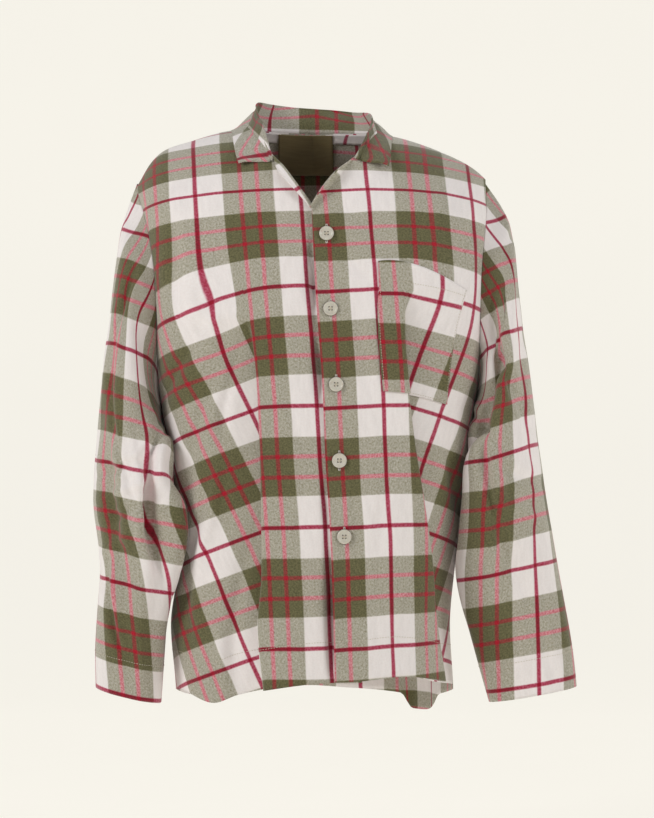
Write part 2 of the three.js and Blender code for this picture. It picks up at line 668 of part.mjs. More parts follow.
function block(grid, { columns, rows, narrows = 0 }) {
  return grid.slice(rows[0], rows[1] + 1).map((row, j) => {
    const kept = 1 - narrows * (j / (rows[1] - rows[0]));
    return row.slice(columns[0], columns[1] + 1).map((point, i) => {
      const beyond = columns[0] + i - BESIDE_TUCK;
      if (narrows === 0 || beyond <= 0) return point;
      const at = BESIDE_TUCK + beyond * kept;
      const before = Math.min(row.length - 2, Math.floor(at));
      return row[before].clone().lerp(row[before + 1], at - before);
    });
  });
}

// A patch on a panel's outer side: the panel's own points and normals, moved out. A patch that
// narrows has its columns outside the tuck drawn in towards its lower edge.
function patch(base, shape, clear) {
  const grid = block(base.grid, shape);
  const normals = block(base.normals, shape);
  return wallGeometry(moved(grid, normals, clear + shape.wall), moved(grid, normals, clear));
}

function lining(base, shape, clear) {
  const grid = block(base.inner, shape);
  const normals = block(base.normals, shape);
  return wallGeometry(moved(grid, normals, -clear), moved(grid, normals, -clear - shape.wall));
}

function buttonGeometry() {
  const { radius, thick, rim } = BUTTON;
  const profile = [[0, 0], [radius - 1, 0], [radius, 0.8], [radius, thick - 0.8], [radius - 0.8, thick],
    [radius - 2.2, thick], [radius - 3, thick - rim], [0, thick - rim]];
  const geometry = new THREE.LatheGeometry(profile.map(([r, y]) => new THREE.Vector2(r, y)), BUTTON_SEGMENTS);
  return geometry;
}

function buttonPlace(k) {
  const z = BUTTON.firstZ - BUTTON.step * k;
  const x = read(PLACKET, 'x', z) + EDGE_TO_BUTTON;
  const at = bodyAt(-1, x, z);
  const across = bodyAt(-1, x + 4, z).sub(at);
  const down = bodyAt(-1, x, z - 4).sub(at);
  const normal = down.cross(across).normalize();
  if (normal.y > 0) normal.negate();
  return { position: at.addScaledVector(normal, LAY_GAP), normal };
}

// ---------------------------------------------------------------- the garment
const FLANNEL = { color: 0xa49c88, roughness: 0.95, metalness: 0 };
const group = new THREE.Group();

function add(name, geometry, look) {
  const mesh = new THREE.Mesh(geometry, new THREE.MeshStandardMaterial(look));
  mesh.name = name;
  group.add(mesh);
  return mesh;
}

const frontRight = panel(frontGrid('right'));
const frontLeft = panel(frontGrid('left'));
const back = panel(backGrid());
const sleeveRight = sleeve('right');
const sleeveLeft = sleeve('left');
const collar = collarGrid();
const collarNormals = gridNormals(collar, false).map((row) => row.map((n) => n.negate()));
collarNormals[0] = collar[0].map((p) => new THREE.Vector3(-p.x, NECK_CENTRE_Y - p.y, 0).normalize());

add('front_right', wallGeometry(frontRight.grid, frontRight.inner), { ...FLANNEL, color: 0xa89f8c });
add('front_left', wallGeometry(frontLeft.grid, frontLeft.inner), { ...FLANNEL, color: 0xaca390 });
add('back', wallGeometry(back.grid, back.inner), { ...FLANNEL, color: 0x9c9480 });
add('sleeve_right', wallGeometry(sleeveRight.grid, sleeveRight.inner, true), { ...FLANNEL, color: 0x8f8a73 });
add('sleeve_left', wallGeometry(sleeveLeft.grid, sleeveLeft.inner, true), { ...FLANNEL, color: 0x8f8a73 });
add('collar', wallGeometry(collar, moved(collar, collarNormals, -WALL)), { ...FLANNEL, color: 0x7c7a5e });
add('pocket', patch(frontLeft, POCKET, POCKET_GAP), { ...FLANNEL, color: 0xc9bfb0 });
add('neck_facing', lining(back, FACING, LAY_GAP), { ...FLANNEL, color: 0xc8c4bb });
add('label', lining(back, LABEL, LAY_GAP * 2 + FACING.wall), { color: 0x6b6038, roughness: 0.5, metalness: 0 });
for (let k = 0; k < BUTTON.count; k += 1) {
  const { position, normal } = buttonPlace(k);
  const button = add(`button_${k + 1}`, buttonGeometry(), { color: 0xcfc8b8, roughness: 0.3, metalness: 0 });
  button.quaternion.setFromUnitVectors(new THREE.Vector3(0, 1, 0), normal);
  button.position.copy(position);
}

export default group;
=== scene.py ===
"""Looks of a plaid flannel pajama top, filled out as when worn: Blender 4.5, metres, +Z up.

The cloth pieces are thin shells on the forms of their CAD solids. Lengths in the tables
and functions are millimetres, as in the CAD, and become metres when a mesh is made.
"""

import math

import bpy
import numpy as np
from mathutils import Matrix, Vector


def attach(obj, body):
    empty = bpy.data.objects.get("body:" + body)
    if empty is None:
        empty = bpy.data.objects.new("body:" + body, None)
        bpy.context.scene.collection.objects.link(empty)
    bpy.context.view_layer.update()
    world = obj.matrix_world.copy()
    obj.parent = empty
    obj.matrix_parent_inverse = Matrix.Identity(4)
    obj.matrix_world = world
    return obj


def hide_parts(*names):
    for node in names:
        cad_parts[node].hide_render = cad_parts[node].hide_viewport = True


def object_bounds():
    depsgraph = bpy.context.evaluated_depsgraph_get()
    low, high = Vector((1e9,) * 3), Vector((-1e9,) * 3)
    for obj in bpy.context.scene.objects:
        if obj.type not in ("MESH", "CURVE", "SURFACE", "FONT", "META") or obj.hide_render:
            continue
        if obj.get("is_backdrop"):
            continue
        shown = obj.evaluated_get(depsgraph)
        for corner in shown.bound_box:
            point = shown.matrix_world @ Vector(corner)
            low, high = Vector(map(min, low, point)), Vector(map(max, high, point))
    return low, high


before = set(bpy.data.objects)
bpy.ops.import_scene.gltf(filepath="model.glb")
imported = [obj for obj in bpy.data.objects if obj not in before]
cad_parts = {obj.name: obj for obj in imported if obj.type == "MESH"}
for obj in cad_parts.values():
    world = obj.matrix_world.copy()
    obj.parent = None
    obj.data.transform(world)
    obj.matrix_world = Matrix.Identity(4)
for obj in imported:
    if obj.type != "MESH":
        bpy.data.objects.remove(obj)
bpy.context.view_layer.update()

MM = 0.001
SIDE = {"right": -1, "left": 1}     # the wearer's right is at -X

# ---------------------------------------------------------------- driving dimensions, mm
CLOTH = 1.1                 # thickness that shows at free edges
NECK_HALF = 85
SHOULDER_ROLL = 100
V_DEPTH = 100
BACK_NECK_Z = 11
ARMHOLE_TOP_Z = -60
UNDERARM_Z = -345
ARMHOLE_CUT = {-1: 58, 1: 66}
OVERLAP = 34
UNDER_STEP = 4.2
UNDER_FADE = 46
EDGE_TO_BUTTON = 17
HEM_DEPTH = 50
CUFF_HEM = 46

# The plaid: a 50/50 mix of warp and weft stripes, each repeat half light and half olive.
ACROSS = 126                # repeat across the cloth
DOWN = 148                  # repeat down the cloth
LINE = 5.0                  # width of a coloured line

# ---------------------------------------------------------------- tables


def table(columns, rows):
    """Named columns, in the rising order of the first."""
    data = np.array(rows, float)
    if data[0, 0] > data[-1, 0]:
        data = data[::-1]
    return dict(zip(columns.split(), data.T))


def read(rows, key, at):
    """A smooth curve through one column of a table, against its first column."""
    xs, ys = next(iter(rows.values())), rows[key]
    at = np.asarray(at, float)
    i = np.clip(np.searchsorted(xs, at, side="right") - 1, 0, len(xs) - 2)
    before, after = np.maximum(i - 1, 0), np.minimum(i + 2, len(xs) - 1)
    span = xs[i + 1] - xs[i]
    t = np.clip((at - xs[i]) / span, 0, 1)
    slope_in = (ys[i + 1] - ys[before]) / (xs[i + 1] - xs[before]) * span
    slope_out = (ys[after] - ys[i]) / (xs[after] - xs[i]) * span
    t2, t3 = t * t, t ** 3
    return ((2 * t3 - 3 * t2 + 1) * ys[i] + (t3 - 2 * t2 + t) * slope_in
            + (3 * t2 - 2 * t3) * ys[i + 1] + (t3 - t2) * slope_out)


TORSO = table("z half middle seam front back square", [
    [60, 224, -2, 2, -92, 84, 2.2],
    [-62, 223, -2, 0, -106, 98, 2.35],
    [-110, 220, 4, -2, -118, 106, 2.45],
    [-205, 214, 7, -4, -134, 108, 2.6],
    [-290, 206, 7, -4, -141, 100, 2.6],
    [-345, 200, 7, -4, -144, 96, 2.6],
    [-430, 189, 7, -6, -146, 94, 2.5],
    [-552, 177, 4, -8, -148, 98, 2.4],
    [-620, 178, -3, -8, -149, 103, 2.4],
    [-700, 177, 2, -8, -150, 110, 2.4],
    [-780, 177, 3, -8, -151, 118, 2.4],
])
SHOULDER = table("out right left", [
    [0, 44, 44], [50, 26, 21], [85, 12, 5], [120, 5, -4], [155, -5.5, -16],
    [189, -17, -31], [207, -33, -42], [224, -61, -58], [245, -92, -88],
])
PLACKET = table("z x", [
    [60, -8], [-100, -1], [-205, 4], [-315, 12], [-410, 16], [-505, 22], [-700, 28],
    [-780, 30],
])
HEM = table("share right left back", [
    [-0.2, -683, -682, -714], [0, -684, -682, -714], [0.22, -692, -681, -716],
    [0.42, -702, -677, -721], [0.57, -713, -680, -722], [0.75, -703, -688, -718],
    [0.88, -702, -694, -711], [1, -705, -699, -705],
])
# Each front's one large tuck: where it starts, how much it takes in and the line of its fold.
TUCKS = {
    "right": dict(apex=-236, take=0.3, most=112, radius=(3.6, 7.4), spread=34,
                  edge=table("z out", [[40, 104], [-120, 96], [-241, 84], [-315, 76],
                                       [-480, 70], [-700, 63], [-780, 60]])),
    "left": dict(apex=-200, take=0.24, most=100, radius=(3.4, 5.2), spread=40,
                 edge=table("z out", [[40, 112], [-120, 107], [-200, 106], [-270, 107],
                                      [-392, 121], [-459, 133], [-528, 145], [-579, 153],
                                      [-624, 162], [-700, 168], [-780, 170]])),
}


def lerp(a, b, t):
    return a + (b - a) * t


def clamp01(t):
    return np.clip(t, 0, 1)


def smooth(t):
    t = clamp01(t)
    return t * t * (3 - 2 * t)


def bump(t, at, width):
    return np.exp(-(((t - at) / width) ** 2))


def unit(v):
    return v / np.maximum(1e-9, np.linalg.norm(v, axis=-1, keepdims=True))


# ---------------------------------------------------------------- the filled-out torso
ARC_STEPS = 48


def section(face, z):
    """A quarter of the torso's section at each height, as lengths from the middle out."""
    z = np.asarray(z, float)
    row = {key: read(TORSO, key, z) for key in TORSO if key != "z"}
    depth = row["seam"] - row["front"] if face < 0 else row["back"] - row["seam"]
    power = (2 / row["square"])[..., None]
    angle = np.linspace(0, math.pi / 2, ARC_STEPS + 1)
    x = row["half"][..., None] * np.sin(angle) ** power
    y = depth[..., None] * np.maximum(0, np.cos(angle)) ** power
    steps = np.hypot(np.diff(x), np.diff(y))
    at = np.concatenate([np.zeros_like(x[..., :1]), np.cumsum(steps, -1)], -1)
    return dict(row=row, x=x, y=y, at=at, length=at[..., -1])


def pick(values, i):
    return np.take_along_axis(values, i[..., None], -1)[..., 0]


def along(quarter, length):
    at = np.minimum(np.abs(length), quarter["length"])
    i = np.clip((quarter["at"] < at[..., None]).sum(-1), 1, ARC_STEPS)
    low = pick(quarter["at"], i - 1)
    t = (at - low) / (pick(quarter["at"], i) - low)
    x = lerp(pick(quarter["x"], i - 1), pick(quarter["x"], i), t)
    y = lerp(pick(quarter["y"], i - 1), pick(quarter["y"], i), t)
    return np.where(length < 0, -x, x), y


def length_at_x(quarter, x):
    i = np.clip((quarter["x"] < x[..., None]).sum(-1), 1, ARC_STEPS)
    low = pick(quarter["x"], i - 1)
    t = clamp01((x - low) / (pick(quarter["x"], i) - low))
    return np.where(x <= 0, x, lerp(pick(quarter["at"], i - 1), pick(quarter["at"], i), t))


def roof_z(x):
    x = np.asarray(x, float)
    return np.where(x < 0, read(SHOULDER, "right", np.abs(x)), read(SHOULDER, "left", np.abs(x)))


def torso_point(face, side, length, z, inset=0.0):
    """The torso's point at a length from the middle and a height, moved inwards by inset."""
    z = np.asarray(z, float)
    length = np.broadcast_to(np.asarray(length, float), np.broadcast(length, z).shape)
    z = np.broadcast_to(z, length.shape)
    quarter = section(face, z)
    here_x, here_y = along(quarter, length)
    ahead_x, ahead_y = along(quarter, length + 1)
    behind_x, behind_y = along(quarter, length - 1)
    tangent = np.maximum(1e-6, np.hypot(ahead_x - behind_x, ahead_y - behind_y))
    middle, seam = quarter["row"]["middle"], quarter["row"]["seam"]
    below = clamp01((roof_z(middle + side * here_x) - z) / SHOULDER_ROLL)
    roll = np.sqrt(1 - (1 - below) ** 2)
    x = here_x - inset * roll * (behind_y - ahead_y) / tangent
    y = here_y * roll - inset * roll * (ahead_x - behind_x) / tangent
    return np.stack([middle + side * x, seam + face * y, z], -1)


def outer_length(face, z):
    """Length from the middle to the panel's outer edge: armhole above, side seam below."""
    share = clamp01((ARMHOLE_TOP_Z - z) / (ARMHOLE_TOP_Z - UNDERARM_Z))
    return section(face, z)["length"] - ARMHOLE_CUT[face] * np.sin(math.pi * share) ** 0.8


def body_at(face, x, z, inset=0.0):
    """The torso's point seen from the front or the back."""
    quarter = section(face, z)
    out = x - quarter["row"]["middle"]
    side = np.where(out < 0, -1.0, 1.0)
    return torso_point(face, side, length_at_x(quarter, np.abs(out)), z, inset)


# ---------------------------------------------------------------- fronts
# A front's columns count from its free edge: the centre part, the tuck and the side part.
COLUMNS = dict(centre=8, turn=3, leg=1, side=10)
TUCK_POINTS = COLUMNS["turn"] * 2 + COLUMNS["leg"]
TUCK_FROM, TUCK_TO = COLUMNS["centre"], COLUMNS["centre"] + TUCK_POINTS
LEG_FROM, LEG_TO = TUCK_FROM + COLUMNS["turn"], TUCK_TO - COLUMNS["turn"]
LAST_COLUMN = TUCK_TO + COLUMNS["side"]
FLAT_TUCK = 8
FULL_TURN = math.pi * 0.985
TUCK_STARTS, TUCK_LENGTH = 60, 460      # the lengths over which it opens and grows


def tuck_size(tuck, z):
    below = np.maximum(0, tuck["apex"] - z)
    take = np.minimum(tuck["most"], tuck["take"] * below * smooth(below / TUCK_STARTS))
    turn = FULL_TURN * (1 - np.exp(-below / tuck["spread"]))
    radius = lerp(*tuck["radius"], clamp01(below / TUCK_LENGTH))
    opening = np.maximum(0.02, 1 - np.cos(turn))
    wanted = (take - 2 * radius * (turn - np.sin(turn))) / opening
    leg = np.minimum(np.maximum(0, wanted), 1.2 * take) + FLAT_TUCK * (1 - turn / math.pi) ** 2
    return dict(turn=turn, radius=radius, leg=leg, length=2 * radius * turn + leg)


def tuck_point(size, length):
    """A point of the Z-shaped path: turned in, back along the leg, and turned out."""
    turn, radius, leg = size["turn"], size["radius"], size["leg"]
    in_turn = radius * turn
    first = np.minimum(length, in_turn) / radius
    done = np.clip(length - in_turn, 0, leg)
    angle = turn - np.maximum(0, length - in_turn - leg) / radius
    rest = length > in_turn + leg
    out = radius * np.sin(first) + done * np.cos(turn)
    inset = radius * (1 - np.cos(first)) + done * np.sin(turn)
    out = out + np.where(rest, radius * (np.sin(turn) - np.sin(angle)), 0)
    inset = inset + np.where(rest, radius * (np.cos(angle) - np.cos(turn)), 0)
    return out, inset


def tuck_step(size, k):
    in_turn = size["radius"] * size["turn"]
    even = size["length"] * k / TUCK_POINTS
    turned = in_turn * np.minimum(k, COLUMNS["turn"]) / COLUMNS["turn"]
    leg = size["leg"] * clamp01((k - COLUMNS["turn"]) / COLUMNS["leg"])
    last = in_turn * np.maximum(0, k - COLUMNS["turn"] - COLUMNS["leg"]) / COLUMNS["turn"]
    return lerp(even, turned + leg + last, size["turn"] / math.pi)


def front_column(name, column, z):
    """Where a column of a front lies at a height: its length from the section's middle, its
    inset, and the same length to the edge of the top front."""
    side = SIDE[name]
    tuck = TUCKS[name]
    quarter = section(-1, z)
    edge = side * (read(PLACKET, "x", z) - quarter["row"]["middle"])
    start = edge if side > 0 else edge - OVERLAP
    size = tuck_size(tuck, z)
    folded = length_at_x(quarter, read(tuck["edge"], "out", z))
    bend = folded - size["radius"] * np.sin(np.minimum(size["turn"], math.pi / 2))
    end_out, end_inset = tuck_point(size, size["length"])
    centre = lerp(start, bend, clamp01(column / COLUMNS["centre"]))
    centre_inset = 0 if side > 0 else UNDER_STEP * (1 - smooth((centre - edge) / UNDER_FADE))
    k = np.clip(column - TUCK_FROM, 0, TUCK_POINTS)
    out, inset = tuck_point(size, tuck_step(size, k))
    outer = outer_length(-1, z)
    share = (column - TUCK_TO) / COLUMNS["side"]
    beyond = lerp(bend + end_out, outer, clamp01(share))
    beyond_inset = end_inset * (1 - smooth((beyond - folded) / (outer - folded)))
    in_tuck, at_side = column > TUCK_FROM, share > 0
    length = np.where(at_side, beyond, np.where(in_tuck, bend + out, centre))
    depth = np.where(at_side, beyond_inset, np.where(in_tuck, inset, centre_inset))
    return length, depth, edge


def neck_z(side, x):
    """The height of a front's top edge: the V of the neck, then the shoulder."""
    out = side * x
    shoulder = float(roof_z(side * NECK_HALF))
    return np.where(out < NECK_HALF, lerp(-V_DEPTH, shoulder, out / NECK_HALF), roof_z(x))


def back_neck_z(x):
    shoulder = np.where(x < 0, roof_z(-NECK_HALF), roof_z(NECK_HALF))
    return lerp(BACK_NECK_Z, shoulder, (x / NECK_HALF) ** 2)


SETTLE_STEPS = 40


def top_z(point_at, edge_at, count):
    """Heights at which columns of points meet an edge whose height depends on their x."""
    z = np.full(count, float(ARMHOLE_TOP_Z))
    for _ in range(SETTLE_STEPS):
        z = lerp(z, edge_at(point_at(z)[..., 0]), 0.5)
    return z


ROLL_ROWS, PLAIN_ROWS = 34, 116


def rows_between(top, hem):
    """Heights down each column: close together where the shoulder rounds over."""
    turn = np.linspace(0, math.pi / 2, ROLL_ROWS, endpoint=False)[:, None]
    rolled = top[None] - SHOULDER_ROLL * (1 - np.cos(turn))
    t = np.linspace(0, 1, PLAIN_ROWS + 1)[:, None]
    return np.concatenate([rolled, lerp(top[None] - SHOULDER_ROLL, hem[None], t)])


def front_columns(first, last, centre_steps, side_steps):
    """Column numbers of a front, close together where the tuck turns."""
    parts = ((first, TUCK_FROM, centre_steps), (TUCK_FROM, LEG_FROM, 12), (LEG_FROM, LEG_TO, 4),
             (LEG_TO, TUCK_TO, 12), (TUCK_TO, last, side_steps))
    return np.concatenate([*(np.linspace(*part, endpoint=False) for part in parts), [last]])


def front_grid(name):
    side = SIDE[name]
    columns = front_columns(0, LAST_COLUMN, 46, 50)

    def place(z):
        length, inset, _ = front_column(name, columns, z)
        return torso_point(-1, side, length, z, inset)

    top = top_z(place, lambda x: neck_z(side, x), len(columns))
    top[-1] = ARMHOLE_TOP_Z
    low = np.full(len(columns), float(read(HEM, "back", 0)))
    share = front_column(name, columns, low)[0] / section(-1, low)["length"]
    hem = read(HEM, name, share)
    z = rows_between(top, hem)
    return dict(grid=place(z), z=z, top=top, hem=hem, columns=columns)


# ---------------------------------------------------------------- back
BACK_FOLDS = table("x width depth", [
    [-128, 26, 9], [-70, 30, -8], [-14, 34, 7], [48, 30, -9], [96, 24, 8], [150, 22, -9],
])
FOLDS_FROM_Z, FOLDS_GROW, FOLDS_CALM = -180, 520, 5
FLUTE_X, FLUTE_WIDTH, FLUTE_DROP, FLUTE_OUT = 140, 19, 20, 10
FLUTE_FROM_Z, FLUTE_GROWS = -600, 120
BACK_COLUMNS = 132


def flute_at(x):
    """The one low flute that the back hem makes."""
    return np.exp(-(((x - FLUTE_X) / FLUTE_WIDTH) ** 6))


def back_grid():
    share = np.linspace(-1, 1, BACK_COLUMNS + 1)
    side = np.where(share < 0, -1.0, 1.0)

    def place(z):
        length = np.abs(share) * outer_length(1, z)
        here = torso_point(1, side, length, z)[..., 0]
        down = smooth((FOLDS_FROM_Z - z) / FOLDS_GROW)
        edge = smooth((1 - np.abs(share)) * FOLDS_CALM)
        folds = sum(depth * bump(here, x, width) for x, width, depth in zip(
            BACK_FOLDS["x"], BACK_FOLDS["width"], BACK_FOLDS["depth"]))
        flute = FLUTE_OUT * flute_at(here) * smooth((FLUTE_FROM_Z - z) / FLUTE_GROWS)
        return torso_point(1, side, length, z, -(folds * down + flute) * edge)

    top = top_z(place, lambda x: np.where(np.abs(x) < NECK_HALF, back_neck_z(x), roof_z(x)),
                len(share))
    top[[0, -1]] = ARMHOLE_TOP_Z
    low = np.full(len(share), float(read(HEM, "back", 0)))
    hem = read(HEM, "back", np.abs(share)) - FLUTE_DROP * flute_at(place(low)[..., 0])
    z = rows_between(top, hem)
    return dict(grid=place(z), z=z, top=top, hem=hem, columns=share)


# ---------------------------------------------------------------- sleeves
SLEEVE_KEYS = "outX outZ inX inZ front back lean"


def sleeve_table(rows):
    return table("row " + SLEEVE_KEYS, [[i, *row] for i, row in enumerate(rows)])


SLEEVES = {
    "right": sleeve_table([
        [-225, -60, -193.5, -345, -56, 62, 0],
        [-236, -90, -194, -348, -62, 66, 0],
        [-245, -119, -193.5, -351, -67, 70, 0],
        [-251, -159, -192.8, -356, -72, 75, 0],
        [-257, -210, -192, -362, -77, 80, -3],
        [-262, -262, -191, -370, -81, 84, -8],
        [-267, -313, -189.5, -381, -84, 84, -14],
        [-272, -362, -187.2, -398, -86, 80, -22],
        [-277, -404, -184.2, -421, -86, 75, -30],
        [-279, -440, -181.8, -448, -85, 70, -34],
        [-279, -472, -179.9, -475, -84, 64, -34],
        [-275, -503, -178.2, -501, -84, 57, -32],
        [-271, -531, -176.5, -529, -85, 50, -28],
        [-270, -562, -178, -559, -86, 42, -22],
        [-273, -607, -185, -604, -86, 28, -12],
        [-275, -652, -189, -658, -86, 15, -4],
        [-274, -698, -193, -718, -86, 5, 0],
    ]),
    "left": sleeve_table([
        [221, -60, 208, -345, -56, 62, 0],
        [240, -88, 208.5, -349, -62, 66, 0],
        [252, -114, 208, -352, -67, 70, 0],
        [258, -150, 207.2, -356, -72, 74, 0],
        [263, -200, 206.2, -362, -76, 78, -3],
        [269, -250, 205, -370, -79, 80, -8],
        [276, -300, 203.7, -382, -80, 79, -14],
        [282, -350, 201.2, -400, -80, 75, -22],
        [288, -396, 197.7, -425, -79, 69, -28],
        [294, -438, 194, -453, -78, 62, -30],
        [300, -478, 190.8, -483, -76, 54, -28],
        [306, -514, 187.6, -513, -75, 46, -24],
        [312, -550, 184, -548, -74, 38, -16],
        [319, -590, 190.5, -588, -73, 28, -8],
        [326, -630, 202, -630, -71, 16, 0],
        [331, -666, 214, -675, -69, 5, 0],
        [334, -698, 226, -718, -67, -2, 0],
    ]),
}
CAP_ROWS = 3.2              # rows over which the armhole's outline becomes the sleeve's
ARM_SQUARE = 2.3
# Folds of the solids: row, turn, how much further round with each row, long, wide, depth.
SLEEVE_FOLDS = {
    "right": [
        [9.2, 0.17, 0, 2.2, 0.035, -9], [7.4, 0.36, -0.01, 1.2, 0.05, 9],
        [8.4, 0.4, 0.02, 0.9, 0.035, -13], [10.6, 0.33, 0.004, 2.4, 0.026, -14],
        [10.6, 0.4, 0.004, 2.4, 0.04, 9], [11.8, 0.2, 0.01, 2.6, 0.03, -6],
        [6.0, 0.22, 0, 2.6, 0.05, 6], [8.8, 0.62, 0, 1.4, 0.05, -8],
        [10.6, 0.76, 0, 1.6, 0.05, 7],
    ],
    "left": [
        [5.3, 0.325, 0.05, 2.2, 0.035, -13], [5.6, 0.26, 0.05, 2.6, 0.045, 6],
        [10, 0.42, 0, 2.2, 0.06, -15], [10.4, 0.31, 0.004, 2.6, 0.045, 7],
        [12.6, 0.22, 0.01, 1.8, 0.04, -5], [8.6, 0.64, 0, 1.6, 0.05, -8],
        [10.4, 0.78, 0, 1.8, 0.05, 7],
    ],
}
SLEEVE_LAP = {"right": 22, "left": -22}
LAP_ROW, LAP_LONG, LAP_TURN, LAP_WIDE = 10, 4, 0.4, 0.06
SLEEVE_NEARER = {"right": 1.5, "left": -3.0}      # how the cloth leans to the body
SLEEVE_FINE_ROWS, SLEEVE_FINE_TURNS = 170, 136


def armhole_loop(name, turn):
    """Points of the body's armhole by the share of a turn from its top, the front first."""
    side = SIDE[name]
    front = (turn < 0.5) & (turn >= 0)
    z = lerp(ARMHOLE_TOP_Z, UNDERARM_Z, (1 - np.cos(2 * math.pi * turn)) / 2)
    fore = torso_point(-1, side, outer_length(-1, z), z)
    rear = torso_point(1, side, outer_length(1, z), z)
    return np.where(front[..., None], fore, rear)


def sleeve_loop(name, row, turn):
    """Points round a sleeve at a row of its table, by the share of a turn."""
    at = {key: read(SLEEVES[name], key, row) for key in SLEEVE_KEYS.split()}
    angle = 2 * math.pi * turn

    def squared(value):
        return np.sign(value) * np.abs(value) ** (2 / ARM_SQUARE)

    out = (1 + squared(np.cos(angle))) / 2
    deep = squared(np.sin(angle))
    middle = (at["front"] + at["back"]) / 2
    y = lerp(middle, np.where(deep > 0, at["front"], at["back"]), np.abs(deep))
    y = y + at["lean"] * (1 - out)
    lap = SLEEVE_LAP[name] * bump(row, LAP_ROW, LAP_LONG) * bump(turn, LAP_TURN, LAP_WIDE)
    x = lerp(at["inX"] + SLEEVE_NEARER[name], at["outX"], out) + lap
    return np.stack([x, y, lerp(at["inZ"], at["outZ"], out)], -1)


def grid_normals(grid, closed=False):
    """Outward normals; a closed grid's last column repeats its first."""
    down = np.gradient(grid, axis=0)
    if closed:
        around = np.concatenate([grid[:, -2:-1], grid, grid[:, 1:2]], 1)
        across = (around[:, 2:] - around[:, :-2]) / 2
    else:
        across = np.gradient(grid, axis=1)
    return unit(np.cross(down, across))


def sleeve_grid(name):
    """Rows from the armhole to the cuff; columns from the underarm seam round to it again."""
    last = len(SLEEVES[name]["row"]) - 1
    row = np.linspace(0, last, SLEEVE_FINE_ROWS + 1)[:, None]
    turn = np.linspace(-0.5, 0.5, SLEEVE_FINE_TURNS + 1)[None]
    row, turn = np.broadcast_arrays(row, turn)
    wrapped = np.mod(turn, 1.0)
    loop = sleeve_loop(name, row, wrapped)
    carried = armhole_loop(name, wrapped) + loop - sleeve_loop(name, 0 * row, wrapped)
    cap = smooth(row / CAP_ROWS)[..., None]
    grid = lerp(carried, loop, cap)
    outwards = -SIDE[name]
    normals = grid_normals(grid, True) * outwards
    depth = np.zeros(row.shape)
    for at, around, slant, long, wide, deep in SLEEVE_FOLDS[name]:
        apart = wrapped - around - slant * (row - at)
        depth += deep * bump(row, at, long) * bump(apart, 0, wide)
    return dict(grid=grid + normals * depth[..., None], turn=turn, row=row, outwards=outwards)


# ---------------------------------------------------------------- collar
COLLAR_KEYS = "at topX topY topZ edgeX edgeY edgeZ"
COLLAR = {
    "right": table(COLLAR_KEYS, [
        [0, 0, 80, 44, 0, 104, 0],
        [0.16, -30, 78, 46, -36, 103, 1],
        [0.32, -56, 64, 48, -72, 86, 3],
        [0.46, -73, 34, 47, -98, 52, 6],
        [0.6, -72, 0, 32, -106, 8, 6],
        [0.74, -65, -34, 10, -102, -34, -4],
        [0.87, -58, -66, -18, -97, -80, -28],
        [1, -50, -93, -42, -92, -95, -42],
    ]),
    "left": table(COLLAR_KEYS, [
        [0, 0, 80, 44, 0, 104, 0],
        [0.16, 30, 79, 42, 36, 104, -1],
        [0.32, 56, 66, 38, 70, 90, -2],
        [0.46, 73, 36, 34, 94, 56, -1],
        [0.6, 77, 2, 24, 102, 8, 0],
        [0.74, 73, -30, 6, 100, -32, -8],
        [0.87, 68, -60, -16, 98, -79, -31],
        [1, 57, -88, -40, 95, -96, -46],
    ]),
}
COLLAR_ROLL, COLLAR_END_ROLL, END_ROLL_FROM = 3.4, 1.8, 0.7
ROLL_PARTS, FALL_PARTS = 4, 4
COLLAR_CLEAR = 3.6          # how far it stands off the shoulders
COLLAR_BOW = 2.8            # how far its fall bows out
STAND_IN = 2                # how far its stand bows in
COLLAR_END_X = 52
NECK_CLEAR = 0.7
STAND_LEAN, STAND_UP = [0.95, 0.95, 1], [0, 0, 4]      # which way it stands up from the seam
COLLAR_COLUMNS = 40
COLLAR_FINE_COLUMNS, COLLAR_FINE_ROWS = 180, 44


def neckline_point(side, at):
    """The neck seam by the share of the way from the middle of the back to the collar's end."""
    x = NECK_HALF * np.sin(math.pi * np.minimum(at, 0.5))
    rear = body_at(1, side * x, back_neck_z(side * x))
    x = lerp(NECK_HALF, COLLAR_END_X, clamp01((at - 0.5) / 0.5))
    fore = body_at(-1, side * x, neck_z(side, side * x))
    return np.where((at <= 0.5)[..., None], rear, fore)


def shoulder_z(x, y):
    """The height of the shoulders at a place seen from above."""
    high = roof_z(x) - 0.01
    low = high - SHOULDER_ROLL
    for _ in range(22):
        middle = (high + low) / 2
        fore, rear = body_at(-1, x, middle)[..., 1], body_at(1, x, middle)[..., 1]
        inside = np.abs(np.where(y < 0, fore, rear)) < np.abs(y)
        high, low = np.where(inside, middle, high), np.where(inside, low, middle)
    return low


def clear_of_body(point, clear):
    """Moves points straight out of the shoulders, until they stand clear of them."""
    x, y, z = point[..., 0], point[..., 1], point[..., 2]
    rise = shoulder_z(x, y) + clear - z
    fore, rear = body_at(-1, x, z)[..., 1], body_at(1, x, z)[..., 1]
    out = np.abs(np.where(y < 0, fore, rear)) + clear - np.abs(y)
    inside = (z < roof_z(x) + clear) & (rise > 0) & (out > 0)
    far = np.maximum(1e-6, rise * rise + out * out)
    moved = point.copy()
    moved[..., 1] += np.where(inside, np.where(y < 0, -1, 1) * out * rise * rise / far, 0)
    moved[..., 2] += np.where(inside, rise * out * out / far, 0)
    return moved


def through(points, count):
    """A smooth curve through points (n, m, 3) along their first axis, evenly by index."""
    knots = np.linspace(0, 1, len(points))
    steps = np.linspace(0, 1, count)
    flat = points.reshape(len(points), -1)
    made = [read({"t": knots, "value": column}, "value", steps) for column in flat.T]
    return np.array(made).T.reshape(count, *points.shape[1:])


UP = np.array([0, 0, 1])


